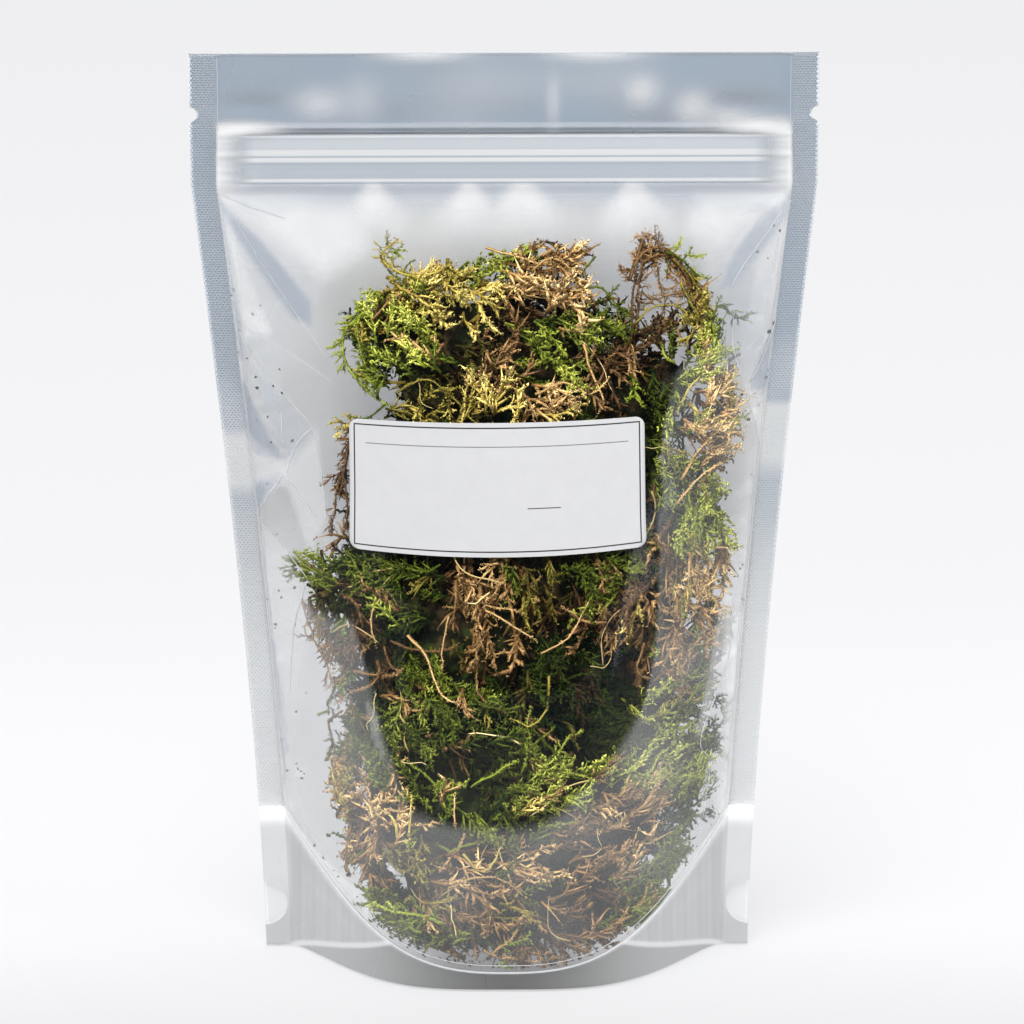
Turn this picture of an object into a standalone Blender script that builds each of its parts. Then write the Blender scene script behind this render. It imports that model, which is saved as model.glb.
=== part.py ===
"""Clump of sheet moss in a stand-up pouch with a clear front and a silver back.

Metres, +Z up. The pouch stands on the origin, with its clear front towards -Y.
"""

import math

import bmesh
import bpy
from mathutils import Vector, noise

MM = 0.001

# The pouch as it stands: 160 mm wide at the zip, drawn in where the filling spreads its bottom.
HEIGHT = 239 * MM
HALF_WIDTH = 80 * MM
BASE_HALF_WIDTH = 63.8 * MM
NARROWING = 1.45
SIDE_SEAL = 6.5 * MM

# How far each panel stands out from the middle plane.
BASE_DEPTH = 34.8 * MM
BULGE_DEPTH = 38 * MM
BULGE_HEIGHT = 48 * MM
BULGE_FALL = 1.7

# A panel's section across the pouch is square-shouldered at the foot and rounder from ROUND_ABOVE up.
SHOULDER_AT_FOOT = 3.5
SHOULDER_ABOVE = 2.1
EASE_AT_FOOT = 1.6
EASE_ABOVE = 1.15
ROUND_ABOVE = 110 * MM

# Where the panels start to close on the side seal, as a share of the width between the seals.
PINCH = 0.985

# Sheets that touch in the real pouch keep a small gap.
FILM = 0.2 * MM
GAP = 0.3 * MM
SEAL_EASE = 10 * MM

# The press-to-close zip, a pair of tapes with ridges that lock.
ZIP_LOW = 205.5 * MM
ZIP_TAPE = 12.5 * MM
TAPE_THICKNESS = 0.25 * MM
RIDGE_REACH = 1.0 * MM
SOCKET_RIDGE = 0.5 * MM
SOCKET_HALF_OPENING = 0.7 * MM
TONGUE = 0.7 * MM
TAPES_APART = RIDGE_REACH + GAP
ZIP_EASE = 3 * MM
ZIP_END = 1.5 * MM

# The folded bottom film, sealed to both panels along a U-shaped line.
SEAL_LINE_LOW = 4.8 * MM
SEAL_LINE_HIGH = 38 * MM
SEAL_LINE_CURVE = 2.5
FLAT_SHARE_X = 0.35
FLAT_SHARE_Y = 0.6
HEM_LIFT = 0.1 * MM
FOLD_RADIUS = 0.4 * MM
FOLD_FROM = 0.9
EYE_RADIUS = 6 * MM
EYE_HEIGHT = 11.8 * MM

# Half-round tear notches in the side seals.
NOTCH_RADIUS = 1.9 * MM
NOTCH_BELOW_TOP = 15.7 * MM

# The rods that cut the eyes and the notches are longer than the pouch's edges are thick.
CUTTER_LENGTH = 20 * MM

# The blank paper label, in the coordinates of the front panel.
LABEL_WIDTH = 75 * MM
LABEL_HEIGHT = 33 * MM
LABEL_CENTRE_X = -2 * MM
LABEL_CENTRE_Z = 131 * MM
LABEL_CORNER = 2.4 * MM
LABEL_THICKNESS = 0.2 * MM
LABEL_TURN = math.radians(0.5)

# The clump of moss, which the two panels press. Its left and right edges in the front view, upwards
# in millimetres: (height, left, right). It has a waist behind the label and a wing below that.
MOSS_EDGES = [
    (3, -20, 24), (12, -31, 37), (24, -38, 44), (36, -43, 50), (47, -46, 55), (60, -42, 56),
    (72, -43, 56), (86, -49, 57.5), (97, -52, 59), (106, -53, 59.3), (111, -42.5, 59.3), (122, -40, 59.3),
    (134, -39.5, 59.3), (147, -33, 59.3), (151, -31, 59), (158, -37, 58), (166, -40, 55),
    (172, -40.5, 52), (178, -33, 50), (184, -19, 48), (188, -7, 44), (191.5, 28, 41),
]
MOSS_FOOT = 24 * MM
MOSS_FOOT_TOP = 48 * MM
MOSS_CLEARANCE = 1.0 * MM
MOSS_OVER_FLOOR = 2.0 * MM
MOSS_HALF_DEPTH = 40 * MM
MOSS_SQUARENESS = 0.6
MOSS_WIDEST = 0.97
LOCK_DEPTH = 9 * MM
LOCK_SIZE = 11 * MM
MOSS_AROUND = 44


def smoothstep(t):
    t = min(max(t, 0.0), 1.0)
    return t * t * (3 - 2 * t)


def mix(a, b, t):
    return a + (b - a) * t


# The shape of the filled pouch

def half_width(z):
    """Distance from the middle to the side edge at height z."""
    t = min(max(z, 0.0) / ZIP_LOW, 1.0)
    return mix(BASE_HALF_WIDTH, HALF_WIDTH, t**NARROWING)


def depth(z):
    """How far a panel stands out at its middle at height z."""
    if z < BULGE_HEIGHT:
        return mix(BASE_DEPTH, BULGE_DEPTH, math.sin(math.pi / 2 * z / BULGE_HEIGHT))
    t = min((z - BULGE_HEIGHT) / (ZIP_LOW - BULGE_HEIGHT), 1.0)
    return BULGE_DEPTH * (1 - t**BULGE_FALL)


def swell(w, z):
    """The panel's section, from 1 in the middle to 0 at the side seal: square low down, round higher."""
    if abs(w) >= 1:
        return 0.0
    squareness = smoothstep(1 - z / ROUND_ABOVE)
    shoulder = mix(SHOULDER_ABOVE, SHOULDER_AT_FOOT, squareness)
    return (1 - abs(w) ** shoulder) ** mix(EASE_ABOVE, EASE_AT_FOOT, squareness)


def zip_room(w, z):
    """The room that the zip takes between the panels, which the side seals press out."""
    beside = abs(z - ZIP_LOW - ZIP_TAPE / 2) - ZIP_TAPE / 2
    pinched = smoothstep((1 - abs(w)) / (1 - PINCH))
    return (1 - smoothstep(beside / ZIP_EASE)) * pinched


def panel_offset(w, z):
    """Distance from the middle plane to the middle of the panel's film."""
    pressed = (FILM + GAP) / 2
    with_bottom_film = pressed + FILM + GAP + GAP / 2
    seal = mix(with_bottom_film, pressed, smoothstep((z - SEAL_LINE_HIGH) / SEAL_EASE))
    over_zip = TAPES_APART / 2 + TAPE_THICKNESS + GAP + FILM / 2
    return mix(seal, over_zip, zip_room(w, z)) + depth(z) * swell(w, z)


def across(w, z):
    """x of a point of the panel. w is 1 at the inner edge of the side seal and 2 at the pouch's edge."""
    inner = half_width(z) - SIDE_SEAL
    beyond = max(abs(w) - 1, 0.0) * SIDE_SEAL
    return math.copysign(min(abs(w), 1.0) * inner + beyond, w)


def panel_point(w, z, side):
    """Middle of the film. side is -1 on the front panel and 1 on the back."""
    return Vector((across(w, z), side * panel_offset(w, z), z))


def panel_normal(w, z, side):
    """The direction that faces out of the pouch."""
    step_w = 0.004
    step_z = 0.5 * MM
    along = panel_point(w + step_w, z, side) - panel_point(w - step_w, z, side)
    up = panel_point(w, z + step_z, side) - panel_point(w, z - step_z, side)
    return (along.cross(up) * -side).normalized()


def seal_line(w):
    """Height of the line where the bottom film leaves the panels."""
    return mix(SEAL_LINE_LOW, SEAL_LINE_HIGH, min(abs(w), 1.0) ** SEAL_LINE_CURVE)


def floor_ridge(w):
    """Height of the bottom film along its middle fold."""
    rise = min(max((abs(w) - FLAT_SHARE_X) / (1 - FLAT_SHARE_X), 0), 1) ** 2
    return mix(FILM / 2, SEAL_LINE_HIGH, rise)


def floor_height(w, share):
    """Height of the bottom film. share is 0 on its middle fold and 1 on the seal line."""
    rise = smoothstep((abs(share) - FLAT_SHARE_Y) / (1 - FLAT_SHARE_Y))
    return mix(floor_ridge(w), seal_line(w), rise)


# Helpers for making solids

def plain_material(name, colour, roughness, metallic=0.0, alpha=1.0):
    material = bpy.data.materials.new(name)
    material.use_nodes = True
    shader = material.node_tree.nodes["Principled BSDF"]
    shader.inputs["Base Color"].default_value = (*colour, 1)
    shader.inputs["Roughness"].default_value = roughness
    shader.inputs["Metallic"].default_value = metallic
    shader.inputs["Alpha"].default_value = alpha
    return material


def add_object(name, mesh, material):
    mesh.materials.append(material)
    obj = bpy.data.objects.new(name, mesh)
    bpy.context.scene.collection.objects.link(obj)
    return obj


def grid_mesh(name, rows):
    """A sheet with one vertex for each point. The rows are lists of points, all of one length."""
    mesh = bpy.data.meshes.new(name)
    wide = len(rows[0])
    points = [point for row in rows for point in row]
    faces = [
        (r * wide + c, r * wide + c + 1, (r + 1) * wide + c + 1, (r + 1) * wide + c)
        for r in range(len(rows) - 1)
        for c in range(wide - 1)
    ]
    mesh.from_pydata(points, [], faces)
    mesh.shade_smooth()
    return mesh


def thicken(obj, thickness):
    """Gives a sheet its thickness, half of it on each side."""
    solidify = obj.modifiers.new("thickness", "SOLIDIFY")
    solidify.thickness = thickness
    solidify.offset = 0
    return obj


def make_cutter(name, radius, place):
    """A rod along Y, which cuts through every layer of film. It isn't part of the object."""
    mesh = bpy.data.meshes.new(name)
    rod = bmesh.new()
    bmesh.ops.create_cone(
        rod, cap_ends=True, segments=28, radius1=radius, radius2=radius, depth=CUTTER_LENGTH
    )
    rod.to_mesh(mesh)
    rod.free()
    cutter = bpy.data.objects.new(name, mesh)
    cutter.rotation_euler = (math.pi / 2, 0, 0)
    cutter.location = place
    cutter.hide_render = True
    cutter.display_type = "WIRE"
    bpy.context.scene.collection.objects.link(cutter)
    return cutter


def cut(obj, cutter):
    boolean = obj.modifiers.new(cutter.name, "BOOLEAN")
    boolean.operation = "DIFFERENCE"
    boolean.solver = "EXACT"
    boolean.object = cutter


# The pouch

def panel_columns():
    """w from edge to edge, closest where the section turns."""
    inner = [0, 0.13, 0.26, 0.38, 0.5, 0.6, 0.7, 0.79, 0.87, 0.94, PINCH, 1, 2]
    return [-w for w in reversed(inner[1:])] + inner


def panel_rows():
    """Heights of the panel's rows, closest at the bottom and about the zip."""
    body = [4, 10, 17, 26, 38, 51, 65, 79, 94, 109, 124, 139, 154, 168, 181, 191, 198]
    zip_band = [ZIP_LOW - ZIP_EASE, ZIP_LOW, ZIP_LOW + ZIP_TAPE, ZIP_LOW + ZIP_TAPE + ZIP_EASE]
    above_notch = HEIGHT - NOTCH_BELOW_TOP + 2 * NOTCH_RADIUS
    return [HEM_LIFT] + [z * MM for z in body] + zip_band + [above_notch, HEIGHT]


def make_panel(name, side, material, notches):
    columns = panel_columns()[::-1] if side < 0 else panel_columns()
    rows = [[panel_point(w, z, side) for w in columns] for z in panel_rows()]
    panel = thicken(add_object(name, grid_mesh(name, rows), material), FILM)
    for notch in notches:
        cut(panel, notch)
    return panel


def make_tear_notches():
    z = HEIGHT - NOTCH_BELOW_TOP
    return [
        make_cutter(f"notch_cutter_{side}", NOTCH_RADIUS, (x, 0, z))
        for side, x in (("left", -HALF_WIDTH), ("right", HALF_WIDTH))
    ]


def inside_panel(w, z, side):
    """Middle of the bottom film where it lies against a panel."""
    return panel_point(w, z, side) - panel_normal(w, z, side) * (FILM + GAP)


def bottom_section(w):
    """Points of the bottom film from the front hem, over the floor, to the back hem."""
    top = seal_line(w)
    heights = [HEM_LIFT, mix(HEM_LIFT, top, 0.5)]
    corner = inside_panel(w, top, -1)
    shares = [-1, -0.92, -0.78, -FLAT_SHARE_Y, -0.3, 0, 0.3, FLAT_SHARE_Y, 0.78, 0.92, 1]
    # At the side seals the film is folded flat, with a round fold.
    fold = FOLD_RADIUS * smoothstep((abs(w) - FOLD_FROM) / (1 - FOLD_FROM))
    floor = [
        Vector((corner.x, -corner.y * share, floor_height(w, share) + fold * math.sqrt(1 - share**2)))
        for share in shares
    ]
    front = [inside_panel(w, z, -1) for z in heights]
    back = [inside_panel(w, z, 1) for z in reversed(heights)]
    return front + floor + back


def make_bottom_film(material):
    sections = [bottom_section(w) for w in panel_columns()]
    film = thicken(add_object("bottom_film", grid_mesh("bottom_film", sections), material), FILM)
    for side, x in (("left", -half_width(EYE_HEIGHT)), ("right", half_width(EYE_HEIGHT))):
        cut(film, make_cutter(f"eye_cutter_{side}", EYE_RADIUS, (x, 0, EYE_HEIGHT)))


def extruded_profile(name, profile, material):
    """A bar along X between the side seals, from its outline in Y and Z."""
    reach = HALF_WIDTH - SIDE_SEAL - ZIP_END
    bar = bmesh.new()
    face = bar.faces.new([bar.verts.new((-reach, y, z)) for y, z in profile])
    swept = bmesh.ops.extrude_face_region(bar, geom=[face])
    moved = [item for item in swept["geom"] if isinstance(item, bmesh.types.BMVert)]
    bmesh.ops.translate(bar, verts=moved, vec=(2 * reach, 0, 0))
    bmesh.ops.recalc_face_normals(bar, faces=bar.faces)
    mesh = bpy.data.meshes.new(name)
    bar.to_mesh(mesh)
    bar.free()
    return add_object(name, mesh, material)


def tape_outline(side, ridges):
    """Outline of a tape on one panel with ridges that point at the other, given as (low, high)."""
    face = side * TAPES_APART / 2
    back = face + side * TAPE_THICKNESS
    tip = face - side * RIDGE_REACH
    outline = [(back, ZIP_LOW + ZIP_TAPE), (back, ZIP_LOW), (face, ZIP_LOW)]
    for low, high in ridges:
        outline += [(face, low), (tip, low), (tip, high), (face, high)]
    return outline + [(face, ZIP_LOW + ZIP_TAPE)]


def make_zip(material):
    middle = ZIP_LOW + ZIP_TAPE / 2
    reach = SOCKET_HALF_OPENING + SOCKET_RIDGE
    socket = [
        (middle - reach, middle - SOCKET_HALF_OPENING),
        (middle + SOCKET_HALF_OPENING, middle + reach),
    ]
    tongue = [(middle - TONGUE / 2, middle + TONGUE / 2)]
    extruded_profile("zip_socket", tape_outline(-1, socket), material)
    extruded_profile("zip_tongue", tape_outline(1, tongue), material)


def label_point(across_share, up_share):
    """A point of the label's sheet, laid on the front panel. The shares run from -1 to 1."""
    x = across_share * LABEL_WIDTH / 2
    z = up_share * LABEL_HEIGHT / 2
    turned_x = x * math.cos(LABEL_TURN) - z * math.sin(LABEL_TURN)
    turned_z = x * math.sin(LABEL_TURN) + z * math.cos(LABEL_TURN)
    height = LABEL_CENTRE_Z + turned_z
    w = (LABEL_CENTRE_X + turned_x) / (half_width(height) - SIDE_SEAL)
    lift = FILM / 2 + GAP + LABEL_THICKNESS / 2
    return panel_point(w, height, -1) + panel_normal(w, height, -1) * lift


def make_label(material):
    """A paper sheet with rounded corners: each row is drawn in where it nears the top or the bottom."""
    edge = 1 - 2 * LABEL_CORNER / LABEL_HEIGHT
    turns = [math.radians(a) for a in (0, 30, 60, 90)]
    outer = [edge + (1 - edge) * math.sin(a) for a in turns]
    ups = [-up for up in reversed(outer)] + [-0.45, 0, 0.45] + outer
    rows = []
    for up in ups:
        corner = math.sqrt(max(1 - (max(abs(up) - edge, 0) / (1 - edge)) ** 2, 0))
        reach = 1 - (1 - corner) * 2 * LABEL_CORNER / LABEL_WIDTH
        shares = [-1, -0.75, -0.5, -0.25, 0, 0.25, 0.5, 0.75, 1]
        rows.append([label_point(-share * reach, up) for share in shares])
    return thicken(add_object("label", grid_mesh("label", rows), material), LABEL_THICKNESS)


# The moss

def moss_edges(z):
    """Left and right edge of the clump at height z."""
    height = min(max(z / MM, MOSS_EDGES[0][0]), MOSS_EDGES[-1][0])
    for (low, left, right), (high, next_left, next_right) in zip(MOSS_EDGES, MOSS_EDGES[1:]):
        if height <= high:
            t = (height - low) / (high - low)
            return mix(left, next_left, t) * MM, mix(right, next_right, t) * MM


def rounded(t):
    """A cosine or sine, bent towards a square's corners."""
    return math.copysign(abs(t) ** MOSS_SQUARENESS, t)


def kept_in_pouch(point):
    """The point, moved inside the panels with the moss's clearance."""
    inner = half_width(point.z) - SIDE_SEAL
    x = max(min(point.x, MOSS_WIDEST * inner), -MOSS_WIDEST * inner)
    room = max(panel_offset(x / inner, point.z) - FILM / 2 - MOSS_CLEARANCE, 0)
    return Vector((x, max(min(point.y, room), -room), point.z))


def moss_side(turn, z):
    """A point of the clump's outside, at an angle about it and a height."""
    left, right = moss_edges(z)
    x = mix(left, right, 0.5 + 0.5 * rounded(math.cos(turn)))
    return kept_in_pouch(Vector((x, MOSS_HALF_DEPTH * rounded(math.sin(turn)), z)))


def moss_floor(turn, share):
    """A point of the clump's underside, which lies on the bottom film. share is 0 in the middle."""
    rim = moss_side(turn, MOSS_FOOT) * share
    w = rim.x / (half_width(rim.z) - SIDE_SEAL)
    edge = abs(inside_panel(w, seal_line(w), -1).y)
    y = math.copysign(min(abs(rim.y), edge - FILM - MOSS_CLEARANCE), rim.y)
    return Vector((rim.x, y, floor_height(w, y / edge) + FILM / 2 + MOSS_OVER_FLOOR))


def with_locks(point, strength=1):
    """Presses hollows into the clump between its locks, towards its upright middle line."""
    left, right = moss_edges(point.z)
    inward = Vector(((left + right) / 2 - point.x, -point.y, 0))
    hollow = max(noise.noise(point / LOCK_SIZE), 0) * LOCK_DEPTH * strength
    return point + inward.normalized() * min(hollow, inward.length / 2)


def moss_rings():
    """The clump's rings of points: over its underside, up its slanting foot, then level to its top."""
    turns = [2 * math.pi * i / MOSS_AROUND for i in range(MOSS_AROUND)]
    rings = [[moss_floor(turn, share) for turn in turns] for share in (0.35, 0.65, 0.88)]
    foot = [moss_floor(turn, 1) for turn in turns]
    for share in (0, 0.2, 0.4, 0.6, 0.8):
        heights = [mix(point.z, MOSS_FOOT_TOP, share) for point in foot]
        rings.append([with_locks(moss_side(turn, z), share) for turn, z in zip(turns, heights)])
    lower = [MOSS_FOOT_TOP / MM, 56, 64, 72, 80, 88, 96, 103, 109, 115, 122, 130, 138]
    upper = [146, 154, 162, 169, 175, 180, 184, 188, 191]
    for z in lower + upper:
        rings.append([with_locks(moss_side(turn, z * MM)) for turn in turns])
    return rings


def make_moss(material):
    moss = bmesh.new()
    loops = [[moss.verts.new(point) for point in ring] for ring in moss_rings()]
    for low, high in zip(loops, loops[1:]):
        for i in range(MOSS_AROUND):
            k = (i + 1) % MOSS_AROUND
            moss.faces.new((low[i], low[k], high[k], high[i]))
    for loop in (loops[0], loops[-1]):
        pole = moss.verts.new(sum((vert.co for vert in loop), Vector()) / MOSS_AROUND)
        for i in range(MOSS_AROUND):
            moss.faces.new((pole, loop[i], loop[(i + 1) % MOSS_AROUND]))
    bmesh.ops.recalc_face_normals(moss, faces=moss.faces)
    mesh = bpy.data.meshes.new("moss_clump")
    moss.to_mesh(mesh)
    moss.free()
    mesh.shade_smooth()
    add_object("moss_clump", mesh, material)


def main():
    for obj in list(bpy.data.objects):
        bpy.data.objects.remove(obj)
    clear = plain_material("clear_film", (0.9, 0.92, 0.94), 0.12, alpha=0.25)
    silver = plain_material("silver_film", (0.72, 0.75, 0.79), 0.3, metallic=0.9)
    zip_plastic = plain_material("zip_plastic", (0.85, 0.87, 0.89), 0.3, alpha=0.6)
    paper = plain_material("paper", (0.78, 0.78, 0.78), 0.6)
    notches = make_tear_notches()
    make_panel("front_film", -1, clear, notches)
    make_panel("back_film", 1, silver, notches)
    make_bottom_film(silver)
    make_zip(zip_plastic)
    make_label(paper)
    make_moss(plain_material("moss", (0.2, 0.17, 0.05), 0.9))


main()
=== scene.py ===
"""Clump of sheet moss in a stand-up pouch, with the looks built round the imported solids.

Metres, +Z up. The pouch stands on the origin with its clear front towards -Y.
Shape formulas work in millimetres and are turned to metres where a mesh is made.
"""

import math
from collections import namedtuple

import bpy
import numpy as np
from mathutils import Matrix, Vector


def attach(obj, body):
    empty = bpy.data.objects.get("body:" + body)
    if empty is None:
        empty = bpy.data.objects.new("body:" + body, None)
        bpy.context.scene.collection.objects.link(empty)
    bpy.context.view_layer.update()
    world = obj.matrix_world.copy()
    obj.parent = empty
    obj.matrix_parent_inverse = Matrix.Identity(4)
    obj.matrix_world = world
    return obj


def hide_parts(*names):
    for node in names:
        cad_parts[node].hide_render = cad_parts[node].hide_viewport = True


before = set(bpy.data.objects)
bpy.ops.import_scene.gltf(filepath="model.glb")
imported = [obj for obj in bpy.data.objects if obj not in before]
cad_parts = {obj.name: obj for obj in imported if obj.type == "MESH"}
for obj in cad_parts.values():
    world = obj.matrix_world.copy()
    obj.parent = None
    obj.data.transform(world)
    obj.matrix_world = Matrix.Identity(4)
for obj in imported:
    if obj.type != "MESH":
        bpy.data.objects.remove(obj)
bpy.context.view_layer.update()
bpy.ops.object.select_all(action="DESELECT")

MM = 0.001

# The pouch, as the solids have it, in millimetres.
HEIGHT = 239
HALF_WIDTH = 80
BASE_HALF_WIDTH = 63.8
NARROWING = 1.45
SIDE_SEAL = 6.5
BASE_DEPTH = 34.8
BULGE_DEPTH = 38
BULGE_HEIGHT = 48
BULGE_FALL = 1.7
SHOULDER_AT_FOOT = 3.5
SHOULDER_ABOVE = 2.1
EASE_AT_FOOT = 1.6
EASE_ABOVE = 1.15
ROUND_ABOVE = 110
PINCH = 0.985
FILM = 0.2
GAP = 0.3
SEAL_EASE = 10
ZIP_LOW = 205.5
ZIP_TAPE = 12.5
TAPES_APART = 1.3
TAPE_THICKNESS = 0.25
ZIP_EASE = 3
SEAL_LINE_LOW = 4.8
SEAL_LINE_HIGH = 38
SEAL_LINE_CURVE = 2.5
FLAT_SHARE_X = 0.35
FLAT_SHARE_Y = 0.6
HEM_LIFT = 0.1
FOLD_RADIUS = 0.4
FOLD_FROM = 0.9
EYE_RADIUS = 6
EYE_HEIGHT = 11.8
NOTCH_RADIUS = 1.9
NOTCH_HEIGHT = HEIGHT - 15.7
LABEL_WIDTH = 75
LABEL_HEIGHT = 33
LABEL_CENTRE_X = -2
LABEL_CENTRE_Z = 131
LABEL_CORNER = 2.4
LABEL_THICKNESS = 0.2
LABEL_TURN = math.radians(0.5)


def smoothstep(t):
    t = np.clip(t, 0, 1)
    return t * t * (3 - 2 * t)


def mix(a, b, t):
    return a + (b - a) * t


# The shape of the filled pouch

def half_width(z):
    return mix(BASE_HALF_WIDTH, HALF_WIDTH, np.clip(z / ZIP_LOW, 0, 1) ** NARROWING)


def depth(z):
    low = mix(BASE_DEPTH, BULGE_DEPTH, np.sin(math.pi / 2 * np.clip(z / BULGE_HEIGHT, 0, 1)))
    t = np.clip((z - BULGE_HEIGHT) / (ZIP_LOW - BULGE_HEIGHT), 0, 1)
    return np.where(z < BULGE_HEIGHT, low, BULGE_DEPTH * (1 - t**BULGE_FALL))


def swell(w, z):
    squareness = smoothstep(1 - z / ROUND_ABOVE)
    shoulder = mix(SHOULDER_ABOVE, SHOULDER_AT_FOOT, squareness)
    ease = mix(EASE_ABOVE, EASE_AT_FOOT, squareness)
    return np.maximum(1 - np.minimum(np.abs(w), 1) ** shoulder, 0) ** ease


def zip_room(w, z):
    beside = np.abs(z - ZIP_LOW - ZIP_TAPE / 2) - ZIP_TAPE / 2
    return (1 - smoothstep(beside / ZIP_EASE)) * smoothstep((1 - np.abs(w)) / (1 - PINCH))


def panel_offset(w, z):
    """Distance from the middle plane to the middle of a panel's film."""
    pressed = (FILM + GAP) / 2
    with_bottom_film = pressed + FILM + GAP + GAP / 2
    seal = mix(with_bottom_film, pressed, smoothstep((z - SEAL_LINE_HIGH) / SEAL_EASE))
    over_zip = TAPES_APART / 2 + TAPE_THICKNESS + GAP + FILM / 2
    return mix(seal, over_zip, zip_room(w, z)) + depth(z) * swell(w, z)


def across(w, z):
    """x of a point of a panel. w is 1 at the inner edge of the side seal and 2 at the pouch's edge."""
    inner = half_width(z) - SIDE_SEAL
    beyond = np.maximum(np.abs(w) - 1, 0) * SIDE_SEAL
    return np.sign(w) * (np.minimum(np.abs(w), 1) * inner + beyond)


def w_at(x, z):
    """The panel coordinate of a place in the front view, for places between the side seals."""
    return x / (half_width(z) - SIDE_SEAL)


def panel_point(w, z, side):
    """Middle of the film. side is -1 on the front panel and 1 on the back."""
    w, z = np.broadcast_arrays(np.asarray(w, float), np.asarray(z, float))
    return np.stack([across(w, z), side * panel_offset(w, z), z], axis=-1)


def panel_normal(w, z, side):
    """The direction that faces out of the pouch."""
    step_w = 0.004
    step_z = 0.5
    along = panel_point(w + step_w, z, side) - panel_point(w - step_w, z, side)
    up = panel_point(w, z + step_z, side) - panel_point(w, z - step_z, side)
    normal = np.cross(along, up) * -side
    return normal / np.linalg.norm(normal, axis=-1, keepdims=True)


def seal_line(w):
    """Height of the line where the bottom film leaves the panels."""
    return mix(SEAL_LINE_LOW, SEAL_LINE_HIGH, np.minimum(np.abs(w), 1) ** SEAL_LINE_CURVE)


def floor_height(w, share):
    """Height of the bottom film. share is 0 on its middle fold and 1 on the seal line."""
    rise = np.clip((np.abs(w) - FLAT_SHARE_X) / (1 - FLAT_SHARE_X), 0, 1) ** 2
    ridge = mix(FILM / 2, SEAL_LINE_HIGH, rise)
    return mix(ridge, seal_line(w), smoothstep((np.abs(share) - FLAT_SHARE_Y) / (1 - FLAT_SHARE_Y)))


# Creases and puckers of the film

# Folds under the zip, on the front and on the back: (x, length down, breadth, height).
FRONT_PUCKERS = [
    (-53, 30, 9, 0.9), (-34, 26, 7, 1.3), (-10.5, 34, 8, 1.5), (8, 20, 10, 0.8), (30.5, 26, 8, 1.4),
    (52, 24, 9, 0.8),
]
BACK_PUCKERS = [
    (-58, 34, 10, 1.2), (-30, 28, 9, 1), (-6, 38, 11, 1.4), (21, 26, 9, 1), (44, 36, 10, 1.3),
]
# Creases of the front panel and of the back one: (x, z) at each end, breadth and height.
FRONT_CREASES = [
    ((-73.5, 204), (-45, 181), 5, 0.9),
    ((-73.5, 203), (-56, 168), 4.5, 1.2),
    ((-72.5, 200), (-64, 166), 3, 0.7),
    ((-67, 172), (-45, 158), 4, 0.6),
    ((-66, 168), (-55, 139), 4, 1),
    ((-65, 162), (-57, 128), 3.5, 0.8),
    ((-57, 127), (-50, 140), 3.5, 0.8),
    ((-57, 127), (-64, 119), 3, 0.8),
    ((-57, 127), (-50, 108), 4, 0.8),
    ((-63, 122), (-57, 92), 3.5, 0.7),
    ((-61, 108), (-56, 62), 3.5, 0.7),
    ((-56, 96), (-53, 60), 3, 0.6),
    ((-58, 62), (-52, 40), 3, 0.6),
    ((73.5, 204), (53, 186), 5, 0.9),
    ((73.5, 203), (55, 172), 4.5, 1.2),
    ((73, 200), (68, 166), 3, 0.8),
    ((66, 178), (58, 153), 4, 0.9),
    ((69, 167), (59, 153), 3, 1),
    ((59, 153), (68, 149), 2.5, 1.1),
    ((59, 153), (64, 128), 4, 1),
    ((66, 132), (60, 96), 3.5, 0.7),
    ((62, 118), (57, 70), 3, 0.6),
    ((59, 84), (54, 48), 3, 0.6),
    ((-56, 24), (-38, 12), 3, 0.35),
    ((56, 24), (38, 12), 3, 0.35),
]
BACK_CREASES = [
    ((-73, 203), (-50, 172), 6, 1.2),
    ((-70, 190), (-60, 140), 5, 1),
    ((-64, 140), (-48, 110), 5, 0.9),
    ((-61, 110), (-54, 62), 4, 0.8),
    ((-55, 60), (-40, 30), 5, 0.7),
    ((73, 203), (48, 168), 6, 1.2),
    ((71, 192), (62, 146), 5, 1),
    ((66, 146), (50, 122), 5, 0.9),
    ((62, 112), (55, 58), 4, 0.8),
    ((55, 56), (38, 26), 5, 0.7),
    ((-30, 168), (-6, 150), 7, 0.5),
    ((14, 172), (34, 148), 7, 0.5),
]
FOLDS = {-1: (FRONT_PUCKERS, FRONT_CREASES), 1: (BACK_PUCKERS, BACK_CREASES)}
# The zip's ribs as they press into the film: (z, height, breadth).
ZIP_RIBS = [
    (206.6, 0.22, 0.5), (209, 0.16, 0.35), (212.9, 0.4, 0.7), (215.3, 0.12, 0.3), (216.4, 0.12, 0.3),
    (218, 0.2, 0.4),
]
PUCKERS_A_SIDE = 30
# The film is loose and crumpled beyond this share of the half width and above this height.
LOOSE_BESIDE = 0.64
LOOSE_ABOVE = 172
# The label keeps the film under it flat, and eases off over this distance.
HELD_BY_LABEL = 0.94
LABEL_EASE = 14
# Bulges of the film just above the zip: (x, breadth, height), and the height they stand at.
HEADER_BULGES = [(-63, 9, 0.25), (-38, 7, 0.12), (58, 13, 0.25), (20, 9, 0.12)]
BULGE_AT = 225.5
BULGE_RISE = 3.5


def crease(x, z, start, end, breadth, height):
    """A fold with straight flanks that rises and ends along a line."""
    run = (end[0] - start[0], end[1] - start[1])
    length = math.hypot(*run)
    t = ((x - start[0]) * run[0] + (z - start[1]) * run[1]) / length**2
    off = np.abs((x - start[0]) * run[1] - (z - start[1]) * run[0]) / length
    rise = np.sqrt(np.clip(4 * t * (1 - t), 0, 1))
    return height * rise * np.clip(1 - off / (breadth * (0.35 + 0.65 * rise)), 0, 1)


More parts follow.
